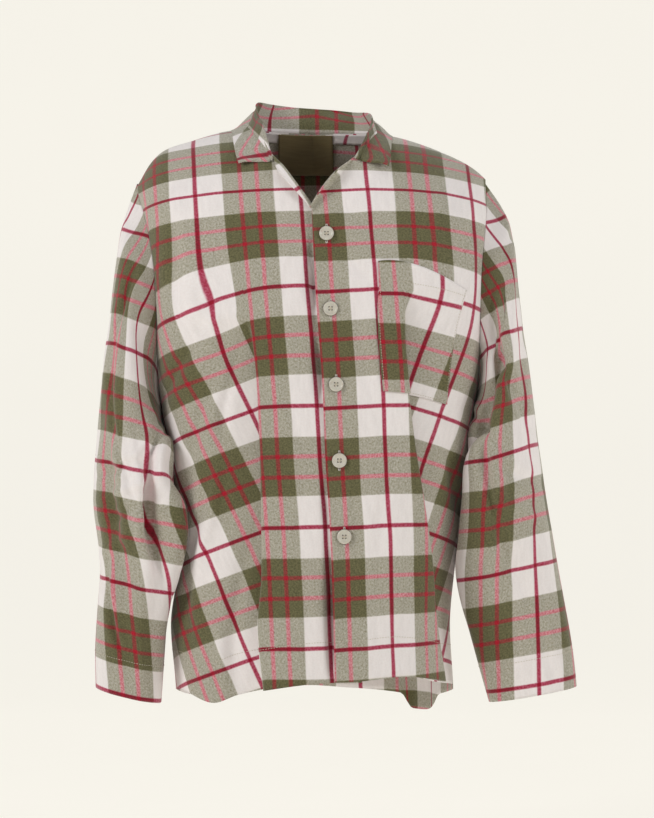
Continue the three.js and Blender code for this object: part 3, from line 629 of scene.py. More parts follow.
def collar_grid():
    """Rows from the neck seam over the roll to the free edge; columns from end to end."""
    at = np.linspace(-1, 1, COLLAR_COLUMNS + 1)
    halves = []
    for name, side in SIDE.items():
        part = np.abs(at[at <= 0] if side < 0 else at[at > 0])
        row = {key: read(COLLAR[name], key, part) for key in COLLAR_KEYS.split()[1:]}
        seam = neckline_point(side, part)
        top = np.stack([row["topX"], row["topY"], row["topZ"]], -1)
        edge = np.stack([row["edgeX"], row["edgeY"], row["edgeZ"]], -1)
        start = seam + unit(seam * STAND_LEAN + STAND_UP - seam) * NECK_CLEAR
        outwards = unit(edge - top)
        up = unit(UP - outwards * outwards[..., 2:])
        away = unit((edge - seam) * [1, 1, 0])
        at_end = smooth((part - END_ROLL_FROM) / 0.3)[:, None]
        roll = lerp(COLLAR_ROLL, COLLAR_END_ROLL, at_end)
        lifted = top - up * roll
        points = [start, lerp(start, lifted, 0.5) - away * STAND_IN]
        for k in range(ROLL_PARTS + 1):
            angle = math.pi * k / ROLL_PARTS
            points.append(lifted + away * roll * (1 - math.cos(angle))
                          + UP * roll * math.sin(angle))
        over = points[-1]
        for k in range(1, FALL_PARTS + 1):
            t = k / FALL_PARTS
            bow = 4 * t * (1 - t) * COLLAR_BOW
            points.append(lerp(over, edge, t) + away * bow + [0, 0, bow])
        points = [points[0]] + [clear_of_body(p, COLLAR_CLEAR) for p in points[1:]]
        halves.append(np.array(points))
    coarse = np.concatenate(halves, 1)
    fall = coarse[2 + ROLL_PARTS:]
    for _ in range(3):
        fall[:, 1:-1] = (fall[:, :-2] + 2 * fall[:, 1:-1] + fall[:, 2:]) / 4
    fine = through(coarse, COLLAR_FINE_ROWS)
    fine = through(fine.transpose(1, 0, 2), COLLAR_FINE_COLUMNS + 1).transpose(1, 0, 2)
    return dict(grid=fine, at=np.linspace(-1, 1, COLLAR_FINE_COLUMNS + 1))


# ---------------------------------------------------------------- the cloth's own directions
# Fabric coordinates in mm: u across the cloth, 0 on a crimson warp line, and v down it, 0 on a
# crimson weft line. Each piece says where its threads lie, as its cut and its hang put them.
FRONT_WEFT = table("z v", [
    [60, -185], [-40, -52], [-75, 0], [-104, 37.7], [-164, 110], [-202, 148], [-345, 296],
    [-492, 444], [-640, 592], [-780, 733],
])
FRONT_CUT = {
    "right": dict(u=-11, lean=0.0159, lean_from=-136, turn=20, v=0, rise=-0.02, rise_to=400),
    "left": dict(u=-74.5, lean=0.0, lean_from=-136, turn=18, v=-3, rise=0.06, rise_to=75),
}
GRAIN = {
    "right": table("angle share", [[-30, 1], [60, 1], [95, 0.8], [130, 0.34], [165, 0.1],
                                   [200, 0.02], [240, 0], [400, 0]]),
    "left": table("angle share", [[-30, 1], [50, 1], [85, 0.7], [120, 0.4], [155, 0.12],
                                  [190, -0.08], [240, -0.04], [280, 0], [400, 0]]),
}


def lengths_down(grid):
    steps = np.linalg.norm(np.diff(grid, axis=0), axis=-1)
    return np.concatenate([np.zeros((1, grid.shape[1])), np.cumsum(steps, 0)])


def lengths_across(grid):
    steps = np.linalg.norm(np.diff(grid, axis=1), axis=-1)
    return np.concatenate([np.zeros((grid.shape[0], 1)), np.cumsum(steps, 1)], 1)


SIDE_NARROWER, SIDE_LONGER = 0.2, 0.04      # how the turned cloth draws in and stretches
# How the cloth is drawn to the right front's tuck: (place, width) across and down from its apex.
DRAWN, DRAWN_ACROSS, DRAWN_DOWN = 16, (34, 24), (-8, 48)
TILTED, TILTED_OVER, TILTED_DOWN = 6, 30, (-20, 110)


def front_fabric(name, made):
    """Fabric coordinates of a front: the cloth beside the tuck is turned about its apex."""
    z, columns, grid = made["z"], made["columns"], made["grid"]
    cut, tuck = FRONT_CUT[name], TUCKS[name]
    length, _, edge = front_column(name, made.get("placed", columns), z)
    across = length - edge
    fall = read(FRONT_WEFT, "v", z) + over_shoulder(made)
    mid_leg = np.array([(LEG_FROM + LEG_TO) / 2])
    apex_length, _, apex_edge = front_column(name, mid_leg, np.array([tuck["apex"]], float))
    apex_across = float(apex_length[0] - apex_edge[0])
    apex_fall = float(read(FRONT_WEFT, "v", tuck["apex"]))
    p, q = across - apex_across, fall - apex_fall
    angle = np.degrees(np.arctan2(p, q))
    at_side = columns[None] >= TUCK_TO
    outer = np.where(angle < -90, angle + 360, angle)
    inner = np.where(angle < 90, angle + 360, angle)
    share = read(GRAIN[name], "share", np.where(at_side, outer, inner))
    turned = np.radians(cut["turn"]) * share
    p = np.where(p > 0, p * (1 - SIDE_NARROWER * share), p)
    u = p * np.cos(turned) + q * np.sin(turned)
    v = q * (np.cos(turned) + SIDE_LONGER * share) - p * np.sin(turned)
    first, last = (int(np.argmax(columns >= column)) for column in (TUCK_FROM, TUCK_TO))
    path = lengths_across(grid)
    span = np.maximum(1e-6, path[:, last:last + 1] - path[:, first:first + 1])
    share = (path[:, first:last + 1] - path[:, first:first + 1]) / span
    for value in (u, v):
        value[:, first:last + 1] = lerp(value[:, first:first + 1], value[:, last:last + 1], share)
    if name == "right":
        u = u + DRAWN * bump(p, *DRAWN_ACROSS) * bump(q, *DRAWN_DOWN)
        v = v - TILTED * np.tanh(p / TILTED_OVER) * bump(q, *TILTED_DOWN)
    u = u + apex_across + cut["u"] + cut["lean"] * (cut["lean_from"] - z)
    v = v + apex_fall + cut["v"] + cut["rise"] * np.clip(across, 0, cut["rise_to"])
    return np.stack([u, v], -1)


PAST_ROLL = 30


def over_shoulder(made):
    """How much longer the cloth is than its height, where it rounds over the shoulder."""
    z, count = made["z"], made["grid"].shape[1]
    level = -SHOULDER_ROLL - PAST_ROLL
    if z.max() < level:
        return 0 * z
    down = lengths_down(made["grid"])
    reached = np.array([np.interp(-level, -z[:, j], down[:, j]) for j in range(count)])
    extra = np.where(z > level, down - reached[None] - (level - z), 0)
    return np.minimum(0, extra)


BACK_U, BACK_V = 63, -41
SLEEVE_CUT = {"right": dict(u=-16, cuff=3, ease=11), "left": dict(u=59, cuff=13.5, ease=0)}
EASE_LENGTH = 140            # how far up from the cuff the cloth is eased


def lengths_from_middle(grid):
    path = lengths_across(grid)
    middle = grid.shape[1] // 2
    return path - path[:, middle:middle + 1]


def back_fabric(made):
    down = lengths_down(made["grid"])
    v = down - down[-1:] + read(FRONT_WEFT, "v", made["z"][-1])[None]
    return np.stack([lengths_from_middle(made["grid"]) + BACK_U, v + BACK_V], -1)


def sleeve_fabric(name, made):
    cut = SLEEVE_CUT[name]
    down = lengths_down(made["grid"])
    from_cuff = down[-1:] - down
    v = -(from_cuff - cut["cuff"] + cut["ease"] * smooth(from_cuff / EASE_LENGTH))
    return np.stack([lengths_from_middle(made["grid"]) + cut["u"], v], -1)


COLLAR_WEFT = table("at v", [
    [-1, 8], [-0.75, -40], [-0.5, -87], [-0.3, -128], [-0.2, -152], [0, -204.6], [0.2, -256],
    [0.3, -282], [0.5, -317], [0.75, -360], [1, -400],
])
COLLAR_SEAM_U = 26.5
COLLAR_MIDDLE_V = -204.6
LEVEL_TO, LEVEL_FADE = 0.25, 0.2      # share of the collar whose lines stand upright


def collar_fabric(made):
    """The collar's length runs down the cloth, so its ends show weft lines across them."""
    down = lengths_down(made["grid"])
    table_v = np.broadcast_to(read(COLLAR_WEFT, "v", made["at"])[None], down.shape)
    level_v = COLLAR_MIDDLE_V - made["grid"][..., 0]
    v = lerp(level_v, table_v, smooth((np.abs(made["at"]) - LEVEL_TO) / LEVEL_FADE)[None])
    return np.stack([down + COLLAR_SEAM_U, v], -1)


# ---------------------------------------------------------------- creases and rolls
# Each crease: its middle across and down the garment as it is seen from the front or the
# back, its turn in degrees from upright (towards +X), half its length, its width and its
# depth, out of the cloth. A valley has a low ridge on either side.
FRONT_CREASES = {
    "right": [
        [-58, -170, 38, 60, 9, -3.2], [-92, -132, 60, 52, 8, -2.4], [-150, -150, -12, 60, 12, 3],
        [-172, -205, -6, 80, 10, -3.6], [-128, -262, 22, 90, 12, 3.2],
        [-106, -330, 14, 110, 8, -3.4], [-150, -400, 10, 100, 9, -4],
        [-124, -470, 12, 120, 8, 3.4], [-158, -560, 4, 90, 8, -4], [-96, -600, 6, 90, 9, -3],
        [-40, -250, 2, 120, 8, -1.8], [-22, -420, -3, 130, 7, 1.8], [-48, -560, 2, 90, 8, -2.2],
        [-14, -640, 0, 50, 6, 2.2], [-170, -300, 30, 40, 7, -3.4], [-112, -660, -4, 40, 9, 3.2],
    ],
    "left": [
        [42, -160, -40, 50, 8, -3], [78, -128, -58, 60, 9, -2.6], [150, -140, 16, 60, 11, 3.2],
        [176, -200, 8, 80, 9, -3.8], [140, -250, -30, 60, 9, 3], [60, -270, -6, 90, 8, -2],
        [52, -400, 4, 110, 7, 2], [84, -480, 7, 110, 8, -2.6], [38, -560, 3, 90, 7, -2],
        [66, -620, -3, 60, 9, 2.6], [110, -600, 8, 70, 8, -3], [182, -300, -28, 40, 7, -3.6],
        [172, -420, -8, 100, 8, -3.4], [128, -330, 12, 60, 9, 2.6],
    ],
}
BACK_CREASES = [
    [-20, -90, 30, 70, 12, -3], [70, -110, -34, 70, 12, -3], [-110, -150, 24, 90, 12, 3],
    [120, -180, -22, 90, 11, -3.4], [-150, -260, 10, 90, 9, -4], [20, -300, 4, 130, 12, 2.6],
    [90, -420, -6, 120, 10, -3], [-60, -500, 6, 120, 10, -3], [160, -520, -3, 90, 9, -3.6],
    [-140, -600, -4, 80, 9, 3.4],
]
CREASE_CURVE, CREASE_END = 0.0016, 2.6        # how a crease bends, and how fast it ends
RIDGE_SHARE, RIDGE_WIDER = 0.42, 2.6
SLEEVE_DEEPER, FRONT_DEEPER = 1.35, 1.3
# A sleeve's creases are given the same way, after their side: its front (1) or back (-1).
SLEEVE_CREASES = {
    "right": [
        [1, -253, -300, 2.5, 170, 3.8, -4.6], [1, -262, -300, 2.5, 170, 5, 3],
        [1, -204, -462, -1, 88, 7, -12], [1, -214, -455, -3, 76, 6, 5],
        [1, -252, -600, -10, 66, 4.5, -6.5], [1, -244, -600, -10, 60, 6, 3],
        [1, -236, -420, 74, 34, 7, -4.2], [1, -228, -446, 66, 38, 7, 4],
        [1, -232, -476, 60, 36, 7, -4], [1, -240, -512, 50, 34, 8, 3.4],
        [1, -196, -392, 40, 26, 6, -6], [1, -226, -120, -30, 44, 7, -3.6],
        [1, -212, -170, -12, 60, 7, 3], [1, -236, -215, 8, 60, 7, -3],
        [1, -226, -560, 6, 60, 8, -3], [1, -214, -655, -4, 44, 7, 2.6],
        [-1, -240, -240, 6, 90, 8, -4], [-1, -212, -380, 60, 40, 8, -5],
        [-1, -236, -430, 74, 38, 8, 4], [-1, -228, -520, 10, 80, 8, -4],
        [-1, -244, -620, -6, 60, 8, 3],
    ],
    "left": [
        [1, 226, -250, -10, 100, 8, -9.5], [1, 238, -255, -8, 90, 7, 3],
        [1, 246, -140, 24, 46, 7, -3.4], [1, 262, -330, -3, 110, 6, -3],
        [1, 216, -420, -6, 84, 8, -9], [1, 228, -432, -7, 90, 8, 3.4],
        [1, 252, -430, -66, 34, 8, -3.4], [1, 262, -474, -58, 36, 8, 3],
        [1, 236, -520, -20, 60, 7, -4], [1, 286, -560, -9, 80, 7, -2.8],
        [1, 262, -610, -8, 60, 8, 2.8], [1, 294, -650, -10, 46, 7, -2.6],
        [1, 214, -372, -36, 30, 6, -5],
        [-1, 240, -240, -6, 90, 8, -4], [-1, 232, -400, -60, 40, 8, -5],
        [-1, 256, -460, -70, 38, 8, 4], [-1, 268, -560, -12, 80, 8, -4],
    ],
}
# Where the top front gapes: its middle height, half its length and how deep it opens.
GAPES = [[-190, 34, 16], [-300, 30, 13], [-600, 66, 17], [-470, 26, 5]]
GAPE_BESIDE, GAPE_WIDE = 2, 4.5         # the trough beside the edge
GAPE_LIFT, LIFT_WIDE = 0.25, 10         # how the edge itself lifts
UNDER_POCKET = ((70, 206), (-358, -150))      # x and z of the cloth that the pocket lies on
POCKET_FADE, TOP_FADE, HEM_FADE = 12, 24, 20
HEM_STIFFER = 0.45
BACK_CALM = 7                         # how fast creases begin beside the back's seams
CAP_CALM, CAP_FADE, FACE_FADE = 0.5, 2, 2.2      # rows without creases, and the turn to a side
CREASED_TO, CREASED_FROM = (7.6, 2), (15.4, 2.2)      # columns beside the tuck, and the fade


def creased(x, z, creases):
    """How far creases move the cloth at places seen from the front or the back."""
    moved = np.zeros(np.broadcast(x, z).shape)
    for at_x, at_z, turn, long, wide, depth in creases:
        turn = math.radians(turn)
        over, up = x - at_x, z - at_z
        on = over * math.sin(turn) + up * math.cos(turn)
        off = over * math.cos(turn) - up * math.sin(turn)
        off = off + CREASE_CURVE * on * on * np.sign(depth)
        shape = bump(off, 0, wide) - RIDGE_SHARE * bump(off, 0, RIDGE_WIDER * wide)
        moved += depth * shape * np.exp(-np.abs(on / long) ** CREASE_END)
    return moved


def crease_front(name, made):
    """Creases stay off the tuck, whose layers lie close together, and off the seams."""
    grid, columns, z = made["grid"], made["columns"][None], made["z"]
    (last, last_fade), (first, first_fade) = CREASED_TO, CREASED_FROM
    off_tuck = np.maximum(smooth((last - columns) / last_fade),
                          smooth((columns - first) / first_fade))
    off_edge = smooth((LAST_COLUMN - columns) / 2) * smooth((made["top"][None] - z) / TOP_FADE)
    x = grid[..., 0]
    depth = FRONT_DEEPER * creased(x, z, FRONT_CREASES[name]) * off_tuck * off_edge
    if name == "left":
        (left, right), (low, high) = UNDER_POCKET
        under = smooth((x - left) / POCKET_FADE) * smooth((right - x) / POCKET_FADE)
        under = under * smooth((z - low) / POCKET_FADE) * smooth((high - z) / POCKET_FADE)
        depth = depth * (1 - under)
    length, _, edge = front_column(name, columns[0], z)
    from_edge = length - edge
    for at, long, opens in GAPES:
        if name == "right":
            depth -= opens * bump(z, at, long) * bump(from_edge, GAPE_BESIDE, GAPE_WIDE)
        else:
            depth += GAPE_LIFT * opens * bump(z, at, long) * bump(from_edge, 0, LIFT_WIDE)
    low = smooth((z - made["hem"][None] - 4) / HEM_FADE)
    made["grid"] = grid + made["normals"] * (depth * lerp(HEM_STIFFER, 1, low))[..., None]


def crease_back(made):
    grid, z = made["grid"], made["z"]
    off_edge = smooth((1 - np.abs(made["columns"][None])) * BACK_CALM)
    off_edge = off_edge * smooth((made["top"][None] - z) / TOP_FADE)
    depth = creased(grid[..., 0], z, BACK_CREASES) * off_edge
    made["grid"] = grid + made["normals"] * depth[..., None]


def crease_sleeve(name, made):
    grid, turn = made["grid"], made["turn"]
    facing = np.sin(2 * math.pi * turn)
    off_cap = smooth((made["row"] - CAP_CALM) / CAP_FADE)
    for face in (1, -1):
        lines = [line[1:] for line in SLEEVE_CREASES[name] if line[0] == face]
        shown = smooth(facing * face * FACE_FADE)
        depth = SLEEVE_DEEPER * creased(grid[..., 0], grid[..., 2], lines) * shown * off_cap
        grid = grid + made["normals"] * depth[..., None]
    made["grid"] = grid


# The neck edge of each front rolls over outwards: by the share of the way from the bottom
# of the V to the collar's end, the roll's radius and the length that then lies back.
NECK_ROLLS = {
    "right": table("share radius back", [[-0.3, 0.6, 0], [0, 1.6, 3], [0.2, 2.2, 6],
                                         [0.45, 2.6, 8], [0.54, 1.4, 2], [0.6, 0.5, 0]]),
    "left": table("share radius back", [[-0.3, 0.8, 0], [0, 2.6, 1], [0.16, 5.2, 2],
                                        [0.34, 6.2, 3], [0.44, 4.6, 2], [0.54, 1.8, 0.5],
                                        [0.6, 0.5, 0]]),
}
ROLL_STEPS, BACK_STEPS, ROLL_LEAST = 10, 5, 0.5
ROLL_FROM_X = -4                      # just past the bottom of the V
ROLL_TURN = {"right": math.pi * 0.92, "left": math.pi * 0.64}
FACING_U, FACING_TURN_U, FACING_V = 32, 8, -58   # the facing's plaid, that the roll shows


def neck_roll(name, made):
    """The cloth beyond a front's neckline, from its edge outwards; its rows run along it."""
    side = SIDE[name]
    x = made["grid"][0, :, 0] * side
    along_v = (x > ROLL_FROM_X) & (x < COLLAR_END_X)
    kept = np.flatnonzero(along_v & (made["columns"] <= TUCK_FROM))
    edge, normal = made["grid"][0, kept], made["normals"][0, kept]
    along_edge = unit(np.gradient(edge, axis=0))
    beyond = np.cross(along_edge, normal)
    beyond = unit(beyond * np.sign(beyond[:, 2:]))
    size = {key: read(NECK_ROLLS[name], key, x[kept] / NECK_HALF)[:, None]
            for key in ("radius", "back")}
    radius, back = np.maximum(ROLL_LEAST, size["radius"]), np.maximum(0, size["back"])
    rows, normals, lengths = [], [], []
    turn = ROLL_TURN[name]
    for k in range(ROLL_STEPS + 1):
        angle = turn * k / ROLL_STEPS
        rows.append(edge + beyond * radius * math.sin(angle)
                    + normal * radius * (1 - math.cos(angle)))
        normals.append(normal * math.cos(angle) - beyond * math.sin(angle))
        lengths.append(radius[:, 0] * angle)
    ahead = beyond * math.cos(turn) + normal * math.sin(turn)
    for k in range(1, BACK_STEPS + 1):
        rows.append(rows[ROLL_STEPS] + ahead * back * k / BACK_STEPS)
        normals.append(normals[ROLL_STEPS])
        lengths.append(radius[:, 0] * turn + back[:, 0] * k / BACK_STEPS)
    lengths = np.array(lengths)
    if name == "right":
        steps = np.linalg.norm(np.diff(edge[::-1], axis=0), axis=1)
        from_collar = np.concatenate([[0], np.cumsum(steps)])[::-1]
        v = from_collar + FACING_V + 0 * lengths
        fabric = np.stack([FACING_U + FACING_TURN_U - lengths, v], -1)
    else:
        fabric = made["fabric"][0, kept][None] - np.stack([0 * lengths, lengths], -1)
    return np.array(rows), fabric, np.array(normals)


# ---------------------------------------------------------------- meshes


def in_scene(name, data):
    piece = bpy.data.objects.new(name, data)
    bpy.context.scene.collection.objects.link(piece)
    return piece


def smooth_mesh(name, points, faces):
    """A smooth mesh in the scene, with its points in metres."""
    mesh = bpy.data.meshes.new(name)
    mesh.from_pydata(points, [], faces)
    mesh.polygons.foreach_set("use_smooth", [True] * len(mesh.polygons))
    mesh.update()
    return in_scene(name, mesh)


def shell_mesh(name, grid, fabric, normals, thick=CLOTH, closed=False):
    """A thin closed shell: the grid outside, the same grid moved in by the cloth's thickness."""
    rows, columns = grid.shape[:2]
    wide = columns - 1 if closed else columns
    outer, inner = grid[:, :wide], (grid - normals * thick)[:, :wide]
    points = np.concatenate([outer.reshape(-1, 3), inner.reshape(-1, 3)]) * MM
    cells, uv = [], []

    def add(corners, layers, order=1):
        """Faces between places (row, column) of the outer layer, 0, or the inner one, 1."""
        at = [row * wide + column % wide + layer * rows * wide
              for (row, column), layer in zip(corners, layers)]
        cells.append(np.stack(at, -1)[:, ::order])
        uv.append(np.stack([fabric[corner] for corner in corners], 1)[:, ::order])

    i, j = np.meshgrid(np.arange(rows - 1), np.arange(columns - 1), indexing="ij")
    i, j = i.ravel(), j.ravel()
    corners = [(i, j), (i, j + 1), (i + 1, j + 1), (i + 1, j)]
    add(corners, (0, 0, 0, 0))
    add(corners[::-1], (1, 1, 1, 1))
    a = np.arange(columns - 1)
    for row, order in ((0, 1), (rows - 1, -1)):
        add([(row, a), (row, a), (row, a + 1), (row, a + 1)], (0, 1, 1, 0), order)
    if not closed:
        a = np.arange(rows - 1)
        for column, order in ((0, -1), (columns - 1, 1)):
            add([(a, column), (a, column), (a + 1, column), (a + 1, column)], (0, 1, 1, 0), order)
    cells, uv = np.concatenate(cells), np.concatenate(uv)
    piece = smooth_mesh(name, points.tolist(), cells.tolist())
    a, b, c, d = (points[cells[:, k]] for k in range(4))
    if (a * np.cross(b, c)).sum() + (a * np.cross(c, d)).sum() < 0:
        piece.data.flip_normals()
        uv = uv[:, [0, 3, 2, 1]]
    layer = piece.data.uv_layers.new(name="fabric")
    layer.data.foreach_set("uv", (uv.reshape(-1, 2) * MM).ravel())
    piece.data.update()
    piece.data.validate()
    return piece


def own(piece, material, slot, *nodes):
    """Gives a piece its look and its place in the part."""
    piece.data.materials.append(material)
    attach(piece, "root")
    if nodes:
        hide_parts(*nodes)


# ---------------------------------------------------------------- materials
class Nodes:
    """A short way to wire shader nodes: plain numbers, tuples and sockets are inputs."""

    def __init__(self, name):
        self.material = bpy.data.materials.new(name)
        self.material.use_nodes = True
        self.tree = self.material.node_tree
        self.tree.nodes.clear()
        self.shader = self.node("BsdfPrincipled")
        output = self.node("OutputMaterial")
        self.tree.links.new(self.shader.outputs[0], output.inputs[0])

    def plug(self, socket, value):
        if isinstance(value, bpy.types.NodeSocket):
            self.tree.links.new(value, socket)
        else:
            socket.default_value = value

    def fill(self, node, inputs):
        for name, value in inputs.items():
            self.plug(node.inputs[name.replace("_", " ")], value)

    def node(self, kind, **inputs):
        node = self.tree.nodes.new("ShaderNode" + kind)
        self.fill(node, inputs)
        return node

    def set(self, **values):
        self.fill(self.shader, values)
        return self.material

    def fabric(self):
        """The cloth's own coordinates, and their parts across and down it."""
        uv = self.node("UVMap")
        uv.uv_map = "fabric"
        split = self.node("SeparateXYZ", Vector=uv.outputs[0])
        return uv.outputs[0], split.outputs[0], split.outputs[1]

    def place(self):
        return self.node("TexCoord").outputs["Object"]

    def math(self, operation, *values):
        node = self.node("Math")
        node.operation = operation
        for socket, value in zip(node.inputs, values):
            self.plug(socket, value)
        return node.outputs[0]

    def around(self, value, reach):
        """A value between 0 and 1, as one between -reach / 2 and reach / 2."""
        return self.math("MULTIPLY", self.math("SUBTRACT", value, 0.5), reach)

    def mix(self, share, a, b, blend="MIX"):
        node = self.node("Mix")
        node.data_type = "RGBA"
        node.blend_type = blend
        for i, value in ((0, share), (6, a), (7, b)):
            self.plug(node.inputs[i], value)
        return node.outputs[2]

    def ramp(self, value, stops):
        node = self.node("ValToRGB")
        elements = node.color_ramp.elements
        elements.remove(elements[-1])
        elements[0].position, elements[0].color = stops[0]
        for position, colour in stops[1:]:
            elements.new(position).color = colour
        self.plug(node.inputs[0], value)
        return node.outputs["Color"], node.outputs["Alpha"]

    def noise(self, vector, scale, detail=2.0, rough=0.5, stretch=None, turn=0.0):
        if stretch is not None:
            vector = self.node("Mapping", Vector=vector, Rotation=(0, 0, turn),
                               Scale=(*stretch, 1)).outputs[0]
        return self.node("TexNoise", Vector=vector, Scale=scale, Detail=detail,
                         Roughness=rough).outputs["Fac"]

    def bump(self, height, strength, distance, **normal):
        return self.node("Bump", Strength=strength, Distance=distance, Height=height,
                         **normal).outputs[0]


def linear(r, g, b):
    """A colour given as it looks on a screen, 0 to 255, for a shader."""
    def channel(c):
        c /= 255
        return c / 12.92 if c <= 0.04045 else ((c + 0.055) / 1.055) ** 2.4
    return (channel(r), channel(g), channel(b), 1)


def dye(r, g, b, alone=0.0):
    """A yarn's colour; its alpha says how far it hides the yarn that it crosses."""
    return (r / 255, g / 255, b / 255, alone)


# Yarns as they look on a screen, because that is where two of them mix evenly by eye.
WHITE = dye(243, 236, 234)
OLIVE = dye(103, 100, 71)
CRIMSON = dye(150, 10, 42, 1.0)
CORAL = dye(176, 26, 46)
SCREEN_GAMMA = 2.2
LINE_SOFT = 0.7                     # how far a stripe's edge blurs, mm
WARP_HALF, WARP_CORALS = 32, (51.5, 72)         # half the light stripe; the lines in the olive
WEFT_HALF, WEFT_CORALS = 37.7, (61.4, 86.5)
TWILL, SATIN_RIB = 0.0011, 0.0006   # from one diagonal or rib to the next, m


def stripes(nodes, along, repeat, half, corals):
    """Colour across one repeat: a crimson line at 0, in the middle of the light half, and a
    coral one at each of the given places in the olive half."""
    wrapped = nodes.math("FLOORED_MODULO", nodes.math("ADD", along, half * MM), repeat * MM)
    marks = [(0, WHITE), (half - LINE / 2, CRIMSON), (half + LINE / 2, WHITE), (2 * half, OLIVE)]
    for place in corals:
        marks += [(half + place - LINE / 2, CORAL), (half + place + LINE / 2, OLIVE)]
    stops = [(0, WHITE)]
    for (at, colour), (_, before) in zip(marks[1:], marks[:-1]):
        stops += [((at - LINE_SOFT) / repeat, before), ((at + LINE_SOFT) / repeat, colour)]
    stops += [(1 - 2 * LINE_SOFT / repeat, OLIVE), (1, WHITE)]
    return nodes.ramp(nodes.math("DIVIDE", wrapped, repeat * MM), stops)


def flannel(name):
    """Brushed plaid: warp and weft mix half and half, with uneven yarn, specks and a nap."""
    nodes = Nodes(name)
    uv, u, v = nodes.fabric()
    waver = nodes.around(nodes.noise(uv, 9, 2), 0.003)
    u_wavers, v_wavers = (nodes.math("ADD", along, waver) for along in (u, v))
    warp, warp_line = stripes(nodes, u_wavers, ACROSS, WARP_HALF, WARP_CORALS)
    weft, weft_line = stripes(nodes, v_wavers, DOWN, WEFT_HALF, WEFT_CORALS)
    thread = nodes.math("MULTIPLY", nodes.math("ADD", u, v), math.tau / TWILL)
    twill = nodes.math("SINE", thread)
    heather = nodes.noise(uv, 460, 1.5, 0.6, (1, 0.8), 0.6)
    speck = nodes.noise(uv, 440, 2.5, 0.8)
    streak = nodes.noise(uv, 190, 3, 0.65, (1, 0.22), 0.75)
    lines = nodes.math("MULTIPLY", nodes.math("SUBTRACT", weft_line, warp_line), 0.24)
    share = nodes.math("ADD", 0.5, nodes.math("MULTIPLY", twill, 0.08))
    share = nodes.math("ADD", share, nodes.around(heather, 0.6))
    share = nodes.node("Clamp", Value=nodes.math("ADD", share, lines)).outputs[0]
    colour = nodes.mix(share, warp, weft)
    specks = nodes.math("ADD", 0.5, nodes.around(speck, 0.55))
    colour = nodes.mix(1.0, colour, specks, "OVERLAY")
    colour = nodes.node("Gamma", Color=colour, Gamma=SCREEN_GAMMA).outputs[0]
    value = nodes.math("ADD", 0.9, nodes.math("MULTIPLY", streak, 0.2))
    colour = nodes.node("HueSaturation", Value=value, Color=colour).outputs[0]
    nap = nodes.noise(uv, 900, 4, 0.7)
    relief = nodes.math("ADD", nodes.math("MULTIPLY", twill, 0.25), nap)
    fine = nodes.bump(relief, 0.35, 0.0004)
    rough = nodes.math("ADD", 0.86, nodes.math("MULTIPLY", nap, 0.12))
    return nodes.set(Base_Color=colour, Roughness=rough, Sheen_Weight=0.35,
                     Sheen_Roughness=0.5, Specular_IOR_Level=0.18,
                     Normal=nodes.bump(nodes.noise(uv, 38, 3), 0.3, 0.0022, Normal=fine))


def satin(name):
    nodes = Nodes(name)
    uv, _, v = nodes.fabric()
    ribs = nodes.math("SINE", nodes.math("MULTIPLY", v, math.tau / SATIN_RIB))
    floats = nodes.noise(uv, 260, 3, 0.6, (0.12, 1))
    base = nodes.mix(floats, linear(116, 101, 62), linear(162, 146, 102))
    shade = nodes.math("MULTIPLY", nodes.math("ADD", ribs, 1), 0.12)
    return nodes.set(Base_Color=nodes.mix(shade, base, linear(80, 68, 40)), Roughness=0.42,
                     Sheen_Weight=0.2, Specular_IOR_Level=0.45,
                     Normal=nodes.bump(ribs, 0.25, 0.0002))


def pearl(name):
    nodes = Nodes(name)
    place = nodes.place()
    cloud = nodes.noise(place, 90, 3, 0.55)
    bands = nodes.math("MULTIPLY", nodes.noise(place, 420, 2, 0.5, (1, 0.3), 0.6), 0.3)
    colour = nodes.mix(cloud, linear(198, 188, 172), linear(234, 228, 216))
    colour = nodes.mix(bands, colour, linear(150, 138, 120))
    return nodes.set(Base_Color=colour, Roughness=0.28, Specular_IOR_Level=0.5,
                     Coat_Weight=0.35, Coat_Roughness=0.15, Subsurface_Weight=0.05)


def plain(name, colour, rough, scale=700, shade=0.8):
    """A plain finish with a fine grain of a darker tone."""
    nodes = Nodes(name)
    grain = nodes.noise(nodes.place(), scale, 3, 0.6)
    base = nodes.mix(grain, linear(*(c * shade for c in colour)), linear(*colour))
    return nodes.set(Base_Color=base, Roughness=rough, Sheen_Weight=0.2,
                     Normal=nodes.bump(grain, 0.3, 0.0003))


# ---------------------------------------------------------------- the garment
SQUARE_FROM = NECK_HALF - 12
BODY_PLACE, POCKET_PLACE = (60, 10), (30, 5)      # a row and column well inside a piece
flannel_cloth = flannel("flannel_plaid")
made_pieces = {}


def square_seams(grid, normals):
    """Walls stand edge to edge at the shoulder seams, as in the solids."""
    x = grid[0, :, 0]
    top = np.abs(x) > SQUARE_FROM
    slope = (roof_z(x - 1) - roof_z(x + 1)) / 2
    normals[0][top] = unit(np.stack([slope, 0 * x, 1 + 0 * x], -1))[top]
    return normals


def normals_facing(face, grid, place):
    """A grid's normals, to the front (-1) or the back (1) at one place, and so at all."""
    normals = grid_normals(grid)
    return normals if normals[place][1] * face > 0 else -normals


def sew(node, made, **shell):
    """The cloth that stands for one CAD node."""
    piece = shell_mesh(f"cloth_{node}", made["grid"], made["fabric"], made["normals"], **shell)
    own(piece, flannel_cloth, "flannel", node)
    made_pieces[node] = made


for name in SIDE:
    made = front_grid(name)
    made["fabric"] = front_fabric(name, made)
    normals = normals_facing(-1, made["grid"], BODY_PLACE)
    made["normals"] = square_seams(made["grid"], normals)
    crease_front(name, made)
    sew(f"front_{name}", made)
    roll = neck_roll(name, made)
    piece = shell_mesh(f"cloth_neck_edge_{name}", *roll)
    own(piece, flannel_cloth, "flannel")

